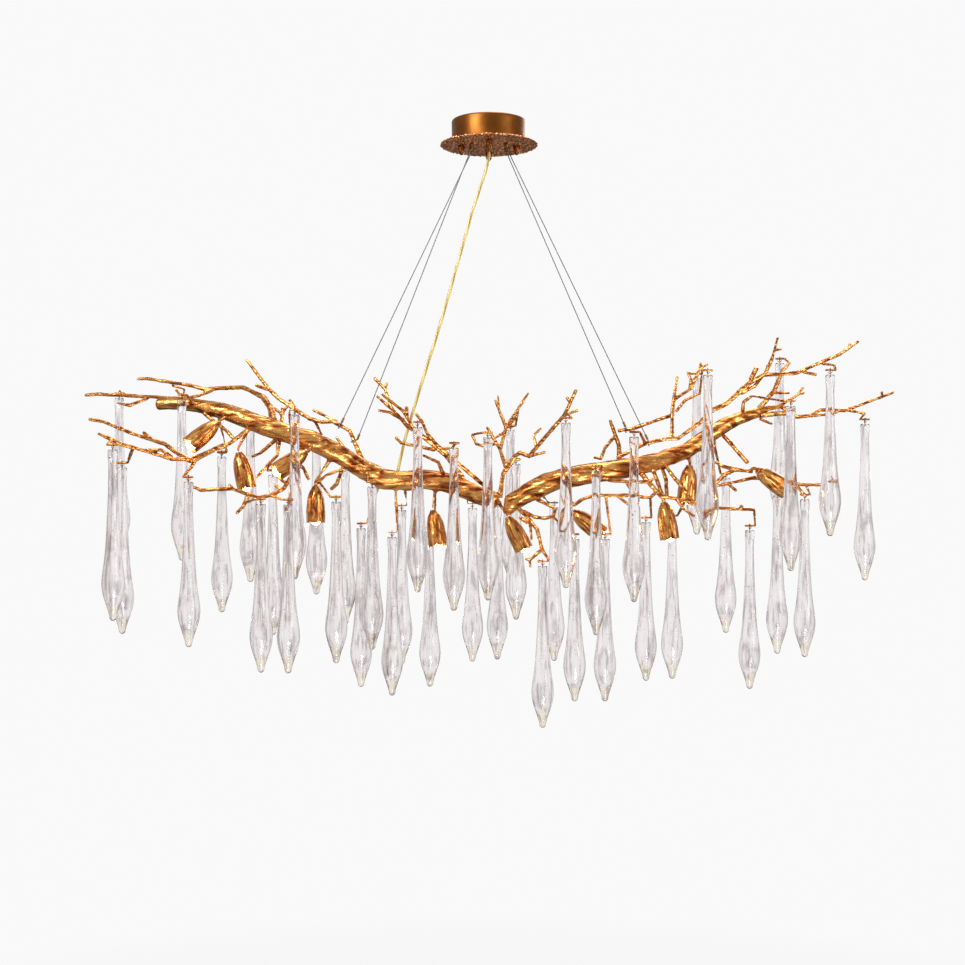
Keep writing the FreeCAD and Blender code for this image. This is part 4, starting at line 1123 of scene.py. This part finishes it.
def turned_ring(name, outline, sides):
    """A closed outline of (radius, height) points turned about Z into a ring-shaped wall."""
    vertices = []
    faces = []
    count = len(outline)
    for i in range(sides):
        angle = 2 * math.pi * i / sides
        for radius, height in outline:
            vertices.append((radius * math.cos(angle), radius * math.sin(angle), height))
    for i in range(sides):
        n = (i + 1) % sides
        for j in range(count):
            k = (j + 1) % count
            faces.append((i * count + j, n * count + j, n * count + k, i * count + k))
    return outward(mesh_from(name, vertices, faces))


def can_outline(edge):
    """The can's wall: a rounded edge at the ceiling and a lip turned in at the bottom."""
    outline = []
    for step in range(7):
        angle = math.radians(90 * (1 - step / 6))
        outline.append((CAN_RADIUS - edge + edge * math.cos(angle), -edge + edge * math.sin(angle)))
    for step in range(1, 10):
        share = step / 10
        radius = CAN_RADIUS - 0.25 * MM * math.sin(math.pi * share)
        outline.append((radius, -edge - (CAN_HEIGHT - edge) * share))
    outline += [
        (CAN_RADIUS - 0.5 * MM, -CAN_HEIGHT + 0.4 * MM), (CAN_RADIUS - 1.2 * MM, -CAN_HEIGHT),
        (CAN_LIP, -CAN_HEIGHT), (CAN_LIP, -CAN_HEIGHT + CAN_WALL),
        (CAN_RADIUS - CAN_WALL, -CAN_HEIGHT + CAN_WALL), (CAN_RADIUS - CAN_WALL, -edge),
    ]
    return outline


def nugget_tree():
    """Hammered nuggets: each cell swells in its middle and drops at its joints."""
    tree, given = new_tree(
        "Hammered nuggets",
        [("Nugget", "NodeSocketFloat"), ("Depth", "NodeSocketFloat"), ("Copper", "NodeSocketMaterial")],
    )
    place = add(tree, "GeometryNodeInputPosition").outputs[0]
    cells = add(tree, "ShaderNodeMath", {0: 1.0, 1: given.outputs["Nugget"]}, operation="DIVIDE").outputs[0]
    bent = add(tree, "ShaderNodeTexNoise", {"Vector": place, "Scale": 90.0}).outputs["Color"]
    shift = add(
        tree, "ShaderNodeVectorMath", {0: bent, "Scale": 3 * MM}, operation="SCALE"
    ).outputs[0]
    warped = add(tree, "ShaderNodeVectorMath", {0: place, 1: shift}, operation="ADD").outputs[0]
    nuggets = add(
        tree, "ShaderNodeTexVoronoi", {"Vector": warped, "Scale": cells, "Randomness": 0.9},
        feature="DISTANCE_TO_EDGE",
    ).outputs["Distance"]
    swell = add(
        tree, "ShaderNodeMapRange", {"Value": nuggets, "From Min": 0.0, "From Max": 0.34},
        interpolation_type="SMOOTHSTEP",
    ).outputs[0]
    lowered = add(tree, "ShaderNodeMath", {0: swell, 1: -0.6}, operation="ADD").outputs[0]
    rise = add(
        tree, "ShaderNodeMath", {0: lowered, 1: given.outputs["Depth"]}, operation="MULTIPLY"
    ).outputs[0]
    return raised_skin(tree, given, rise, swell, given.outputs["Copper"])


def plate_mesh():
    """The round plate as a fine skin that the nuggets can be raised on."""
    half = PLATE_THICK / 2
    count = int((PLATE_RADIUS - half) / PLATE_STEP)
    outline = [(PLATE_STEP * (i + 1), half) for i in range(count)]
    rim = [
        (PLATE_RADIUS - half + half * math.sin(a), half * math.cos(a))
        for a in [math.pi * i / 6 for i in range(7)]
    ]
    outline = outline + rim + [(r, -h) for r, h in reversed(outline)]
    middle = -CAN_HEIGHT - half
    rings = [circle(radius, middle + height, PLATE_SIDES) for radius, height in outline]
    return outward(mesh_from("plate", *loft(rings)))


def round_pattern_tree():
    """Copies of one piece, evenly round the vertical axis."""
    tree, given = new_tree(
        "Round pattern",
        [("Count", "NodeSocketInt"), ("Radius", "NodeSocketFloat"), ("Finish", "NodeSocketMaterial")],
    )
    ring = add(
        tree, "GeometryNodeMeshCircle",
        {"Vertices": given.outputs["Count"], "Radius": given.outputs["Radius"]},
    ).outputs[0]
    copies = add(
        tree, "GeometryNodeInstanceOnPoints", {"Points": ring, "Instance": given.outputs["Geometry"]}
    ).outputs[0]
    end_tree(tree, copies, given.outputs["Finish"])
    return tree


class BuildCanopy(Operator):
    """The canopy: spun can, hammered plate, acorn nuts, brass fittings and what is inside"""

    bl_idname = "chandelier.canopy"
    bl_label = "Canopy"

    def execute(self, context):
        settings = context.scene.chandelier_canopy
        brass_shade = context.scene.chandelier_cords.brass
        lacquer = plain_metal("Satin copper lacquer", "#70400F", settings.copper, 30 * MM, 0.33, 0.85)
        hammered = nugget_copper(settings)
        nut_copper = plain_metal("Copper-plated nut", "#5E2E10", "#A4612C", 5 * MM, 0.30)
        brass = plain_metal("Satin brass", "#6E4420", brass_shade, 6 * MM, 0.32)
        zinc = plain_metal("Zinc plate", "#8D9193", settings.zinc, 8 * MM, 0.38)
        plastic = moulded("White polyamide", settings.plastic, 0.5, 10 * MM)

        can_wall = turned_ring("can", can_outline(settings.edge_round), 160)
        can = new_object("canopy_spun_can", can_wall, lacquer)
        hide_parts("canopy_can")

        plate = new_object(
            "canopy_hammered_plate",
            run_nodes(
                "plate", plate_mesh(), nugget_tree(),
                {"Nugget": settings.nugget, "Depth": settings.nugget_depth, "Copper": hammered},
            ),
        )
        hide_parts("canopy_plate")

        nut = turned_mesh("nut", NUT_PROFILE, 40, 60)
        nuts = new_object(
            "canopy_acorn_nuts",
            run_nodes(
                "nuts", nut, round_pattern_tree(), {"Count": 4, "Radius": STUD_CIRCLE, "Finish": nut_copper}
            ),
        )
        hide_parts("canopy_nuts")

        fittings = []
        gland = turned_mesh("gland", GLAND_PROFILE, 36, 50)
        for points in islands("cable_glands"):
            middle = points.mean(axis=0)
            fittings.append((gland, Vector((middle[0], middle[1], PLATE_BOTTOM))))
        glands = new_object("cable_grippers", joined("cable_grippers", fittings), brass)
        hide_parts("cable_glands")

        bush = turned_mesh("bush", BUSH_PROFILE, 48, 60)
        cord_bush = new_object(
            "cord_bushing", joined("cord_bushing", [(bush, Vector((0, 0, PLATE_BOTTOM)))]), brass
        )
        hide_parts("cord_bush")
        for piece in (can, plate, nuts, glands, cord_bush):
            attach(piece, "fixture")

        for node, finish in (
            ("ceiling_bracket", zinc), ("canopy_studs", zinc), ("terminal_block", plastic),
        ):
            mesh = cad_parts[node].data
            mesh.materials.clear()
            mesh.materials.append(finish)
        return {"FINISHED"}


# ---------------------------------------------------------------- cables and cord

# The power cord's route from the bush to the slot in the main branch, as in the CAD.
CORD_ROUTE = [
    (0.0, 0.0, -0.0465),
    (0.0, 0.0, -0.062),
    (-0.024, 0.005, -0.130),
    (-0.038, 0.008, -0.180),
    (-0.072, 0.010, -0.300),
    (-0.103, 0.012, -0.396),
    (-0.131, 0.011, -0.490),
    (-0.137, 0.011, -0.52665),
]
CORD_STEP = 1.5 * MM
CORD_LAY = 90 * MM
# The cord is wider across, and thinner through, than a round one by this share.
CORD_FLAT = 0.22
CABLE_STEP = 1.2 * MM
LOOP_WIRE = 1.25 * MM
# What lies further from a cable's line than this belongs to its loop, not to its crimp.
LOOP_OFF_LINE = 2.2 * MM
CRIMP_LENGTH = 8 * MM
# Along a crimp as a share of its length, and its width there in millimetres.
CRIMP_PROFILE = [
    (-1.0, 2.6), (-0.94, 3.5), (-0.62, 3.5), (-0.55, 3.0), (-0.42, 3.0), (-0.35, 3.5), (-0.06, 3.5),
    (0.0, 2.6),
]


def centreline(points, resolution=12):
    """Points along the NURBS line with the given control points."""
    line = nurbs_mesh("route", points, resolution)
    path = [v.co.copy() for v in line.vertices]
    bpy.data.meshes.remove(line)
    return path


def wound_tube(name, path, radius, sides, strands, lay, flat=0.0):
    """A tube along a path; its strand number winds round it once in each lay.

    A flat share above 0 makes it wide across and thin through by that share, like a twin cord.
    """
    rings = []
    strand = []
    side = None
    gone = 0.0
    for i, point in enumerate(path):
        ahead = path[min(i + 1, len(path) - 1)]
        behind = path[max(i - 1, 0)]
        run = (ahead - behind).normalized()
        if i:
            gone += (point - path[i - 1]).length
        start = side if side is not None else Vector((1, 0, 0))
        side = (start - run * start.dot(run)).normalized()
        up = run.cross(side)
        ring = []
        for j in range(sides):
            angle = 2 * math.pi * j / sides
            wide = radius * (1 + flat) * math.cos(angle)
            thick = radius * (1 - flat) * math.sin(angle)
            ring.append(point + side * wide + up * thick)
            strand.append(strands * angle + 2 * math.pi * strands * gone / lay)
        rings.append(ring)
    vertices, faces = loft(rings)
    return mesh_from(name, vertices, faces, {"strand": strand + [0.0, 0.0]})


def even_path(path, step):
    """The same line with points every step, so that a wound pattern on it is smooth."""
    points = [path[0]]
    for a, b in zip(path[:-1], path[1:]):
        count = max(1, round((b - a).length / step))
        points += [a.lerp(b, (i + 1) / count) for i in range(count)]
    return points


def ring_mesh(name, centre, normal, radius, thickness):
    """A round wire ring."""
    side = normal.orthogonal().normalized()
    up = normal.cross(side)
    around, tube = 40, 10
    vertices = []
    faces = []
    for i in range(around):
        angle = 2 * math.pi * i / around
        out = side * math.cos(angle) + up * math.sin(angle)
        for j in range(tube):
            turn = 2 * math.pi * j / tube
            vertices.append(
                centre + out * (radius + thickness / 2 * math.cos(turn))
                + normal * (thickness / 2 * math.sin(turn))
            )
    for i in range(around):
        for j in range(tube):
            k, n = (j + 1) % tube, (i + 1) % around
            faces.append((i * tube + j, n * tube + j, n * tube + k, i * tube + k))
    return outward(mesh_from(name, vertices, faces))


def eye_of(points, foot, pull):
    """The centre, normal and radius of the wire eye among a CAD eye's points."""
    base = numpy.array(foot)
    line = numpy.array(pull)
    away = points - base
    off = numpy.linalg.norm(away - numpy.outer(away @ line, line), axis=1)
    ring = points[off > LOOP_OFF_LINE]
    middle = ring.mean(axis=0)
    _, _, directions = numpy.linalg.svd(ring - middle)
    flat = (ring - middle) @ directions[:2].T
    system = numpy.column_stack([2 * flat, numpy.ones(len(flat))])
    answer = numpy.linalg.lstsq(system, (flat ** 2).sum(axis=1), rcond=None)[0]
    centre = middle + answer[:2] @ directions[:2]
    radius = math.sqrt(answer[2] + (answer[:2] ** 2).sum())
    return Vector(centre), Vector(directions[2]), radius


class BuildCords(Operator):
    """Four taut wire cables with their crimped eyes, and the clear gold power cord"""

    bl_idname = "chandelier.cords"
    bl_label = "Cables and cord"

    def execute(self, context):
        settings = context.scene.chandelier_cords
        rope = wire_rope(settings)
        brass = plain_metal("Satin brass crimp", "#94702F", settings.brass, 4 * MM, 0.30)
        clear = clear_cord(settings)
        eyes = islands("cable_eyes")
        rings = []
        crimps = []
        crimp_stations = [(share * CRIMP_LENGTH, width * MM) for share, width in CRIMP_PROFILE]
        for index, points in enumerate(islands("suspension_cables")):
            middle, direction, low, high, _ = long_axis(points)
            ends = sorted((middle + direction * low, middle + direction * high), key=lambda p: p.z)
            foot, top = ends
            pull = (top - foot).normalized()
            path = even_path([top, foot], CABLE_STEP)
            tube = wound_tube("cable", path, settings.cable_diameter / 2, 12, 6, settings.strand_lay)
            cable = new_object(f"suspension_cable_{index + 1}", tube, rope)
            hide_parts("suspension_cables")
            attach(cable, "fixture")
            eye_points = min(eyes, key=lambda group: (Vector(group.mean(axis=0)) - foot).length)
            centre, normal, ring_radius = eye_of(eye_points, foot, pull)
            rings.append((ring_mesh("eye", centre, normal, ring_radius, LOOP_WIRE), Vector()))
            crimp = turned_mesh("crimp", crimp_stations, 28, 48)
            crimp.transform(frame_along(foot, pull))
            crimps.append((crimp, Vector()))
        for name, parts, finish, slot in (
            ("cable_loops", rings, rope, "cable_steel"), ("cable_crimps", crimps, brass, "gland_brass"),
        ):
            piece = new_object(name, joined(name, parts), finish)
            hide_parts("cable_eyes")
            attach(piece, "fixture")

        route = [Vector(p) for p in CORD_ROUTE]
        path = even_path(centreline(route), CORD_STEP)
        tube = wound_tube("cord", path, settings.cord_diameter / 2, 20, 2, CORD_LAY, CORD_FLAT)
        cord = new_object("power_cord_clear", tube, clear)
        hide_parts("power_cord")
        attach(cord, "fixture")
        return {"FINISHED"}


# ---------------------------------------------------------------- stage


FLOOR_RADIUS = 4.0
FLOOR_SIDES = 96
MIDDLE = (0.0, 0.0, -0.52)
# Each light's name, its place, the point that it faces, its width and its power in watts.
LIGHTS = (
    ("key_light", (-1.5, -1.7, 0.7), MIDDLE, 1.2, 50),
    ("fill_light", (1.9, -1.3, -0.1), MIDDLE, 1.2, 17),
    ("top_light", (0.2, 0.3, 1.3), MIDDLE, 1.2, 20),
    ("back_light", (0.9, 1.8, 0.3), MIDDLE, 1.2, 18),
    ("low_light", (0.3, -1.5, -1.5), (0.0, 0.0, -0.2), 0.7, 15),
)


def backdrop_rays(tree):
    """1 for what the camera sees, itself or through glass, and 0 for the light on the object."""
    rays = add(tree, "ShaderNodeLightPath")
    seen = add(
        tree, "ShaderNodeMath",
        {0: rays.outputs["Is Camera Ray"], 1: rays.outputs["Is Transmission Ray"]},
        operation="ADD", use_clamp=True,
    ).outputs[0]
    return seen


def pale_floor(settings):
    """Pale floor that keeps a soft shadow under the object and fades into the backdrop."""
    material, tree = new_material("Pale floor")
    place = add(tree, "ShaderNodeTexCoord").outputs["Object"]
    away = add(tree, "ShaderNodeVectorMath", {0: place}, operation="LENGTH").outputs["Value"]
    near = add(
        tree, "ShaderNodeMapRange",
        {"Value": away, "From Min": 0.6, "From Max": 2.6, "To Min": 0.45, "To Max": 0.0},
    ).outputs[0]
    lit = add(tree, "ShaderNodeBsdfDiffuse", {"Color": linear(settings.pale)})
    plain = add(
        tree, "ShaderNodeEmission", {"Color": linear(settings.pale), "Strength": backdrop_rays(tree)}
    )
    mix = add(tree, "ShaderNodeMixShader", {0: near, 1: plain.outputs[0], 2: lit.outputs[0]})
    finish_material(tree, mix)
    return material


def pale_world(settings):
    """Even soft light; the camera, and what is seen through glass, meet the pale backdrop."""
    world = bpy.data.worlds.new("Pale room")
    world.use_nodes = True
    tree = world.node_tree
    tree.nodes.clear()
    strength = add(
        tree, "ShaderNodeMapRange", {"Value": backdrop_rays(tree), "To Min": 0.42, "To Max": 1.0}
    ).outputs[0]
    light = add(tree, "ShaderNodeBackground", {"Color": linear(settings.pale), "Strength": strength})
    add(tree, "ShaderNodeOutputWorld", {"Surface": light.outputs[0]})
    bpy.context.scene.world = world


def softbox(name, place, look_at, width, power):
    """A square area light that faces a point."""
    light = bpy.data.lights.new(name, "AREA")
    light.size = width
    light.energy = power
    lamp = bpy.data.objects.new(name, light)
    lamp.visible_transmission = False
    bpy.context.scene.collection.objects.link(lamp)
    direction = Vector(look_at) - Vector(place)
    lamp.matrix_world = frame_along(place, -direction.normalized())
    return lamp


class BuildStage(Operator):
    """Pale floor and backdrop, soft studio light and the camera"""

    bl_idname = "chandelier.stage"
    bl_label = "Stage"

    def execute(self, context):
        settings = context.scene.chandelier_stage
        pale_world(settings)
        ring = circle(FLOOR_RADIUS, 0.0, FLOOR_SIDES)
        mesh = mesh_from("floor", ring, [tuple(range(FLOOR_SIDES))])
        floor = new_object("floor", mesh, pale_floor(settings), smooth=False)
        floor.location.z = cad_box[0][2] - settings.floor_drop
        lights = [softbox(*light) for light in LIGHTS]
        camera_data = bpy.data.cameras.new("camera")
        camera_data.lens = settings.lens
        camera_data.sensor_width = 36.0
        camera = bpy.data.objects.new("camera", camera_data)
        camera.location = settings.eye_place
        camera.rotation_euler = (math.radians(90), 0, 0)
        context.scene.collection.objects.link(camera)
        context.scene.camera = camera
        context.scene.view_settings.view_transform = "Standard"
        return {"FINISHED"}


# ---------------------------------------------------------------- the panel and the run

STEPS = (BuildBoughs, BuildDrops, BuildLamps, BuildCanopy, BuildCords, BuildStage)


class ChandelierPanel(Panel):
    """Lists the chandelier's groups of pieces"""

    bl_idname = "VIEW3D_PT_chandelier"
    bl_label = "Branch chandelier"
    bl_space_type = "VIEW_3D"
    bl_region_type = "UI"
    bl_category = "Chandelier"

    def draw(self, context):
        for step in STEPS:
            self.layout.operator(step.bl_idname)
        for key, group in GROUPS.items():
            box = self.layout.box()
            for field in group.__annotations__:
                box.prop(getattr(context.scene, key), field)


def register():
    """Registers the settings, the operators and the panel."""
    for key, group in GROUPS.items():
        bpy.utils.register_class(group)
        setattr(bpy.types.Scene, key, PointerProperty(type=group))
    for step in STEPS + (ChandelierPanel,):
        bpy.utils.register_class(step)


def unregister():
    """Takes them all away again."""
    for step in STEPS + (ChandelierPanel,):
        bpy.utils.unregister_class(step)
    for key, group in GROUPS.items():
        delattr(bpy.types.Scene, key)
        bpy.utils.unregister_class(group)


def main():
    """Builds every group in order."""
    register()
    for step in STEPS:
        area, name = step.bl_idname.split(".")
        getattr(getattr(bpy.ops, area), name)()


if __name__ == "__main__":
    main()
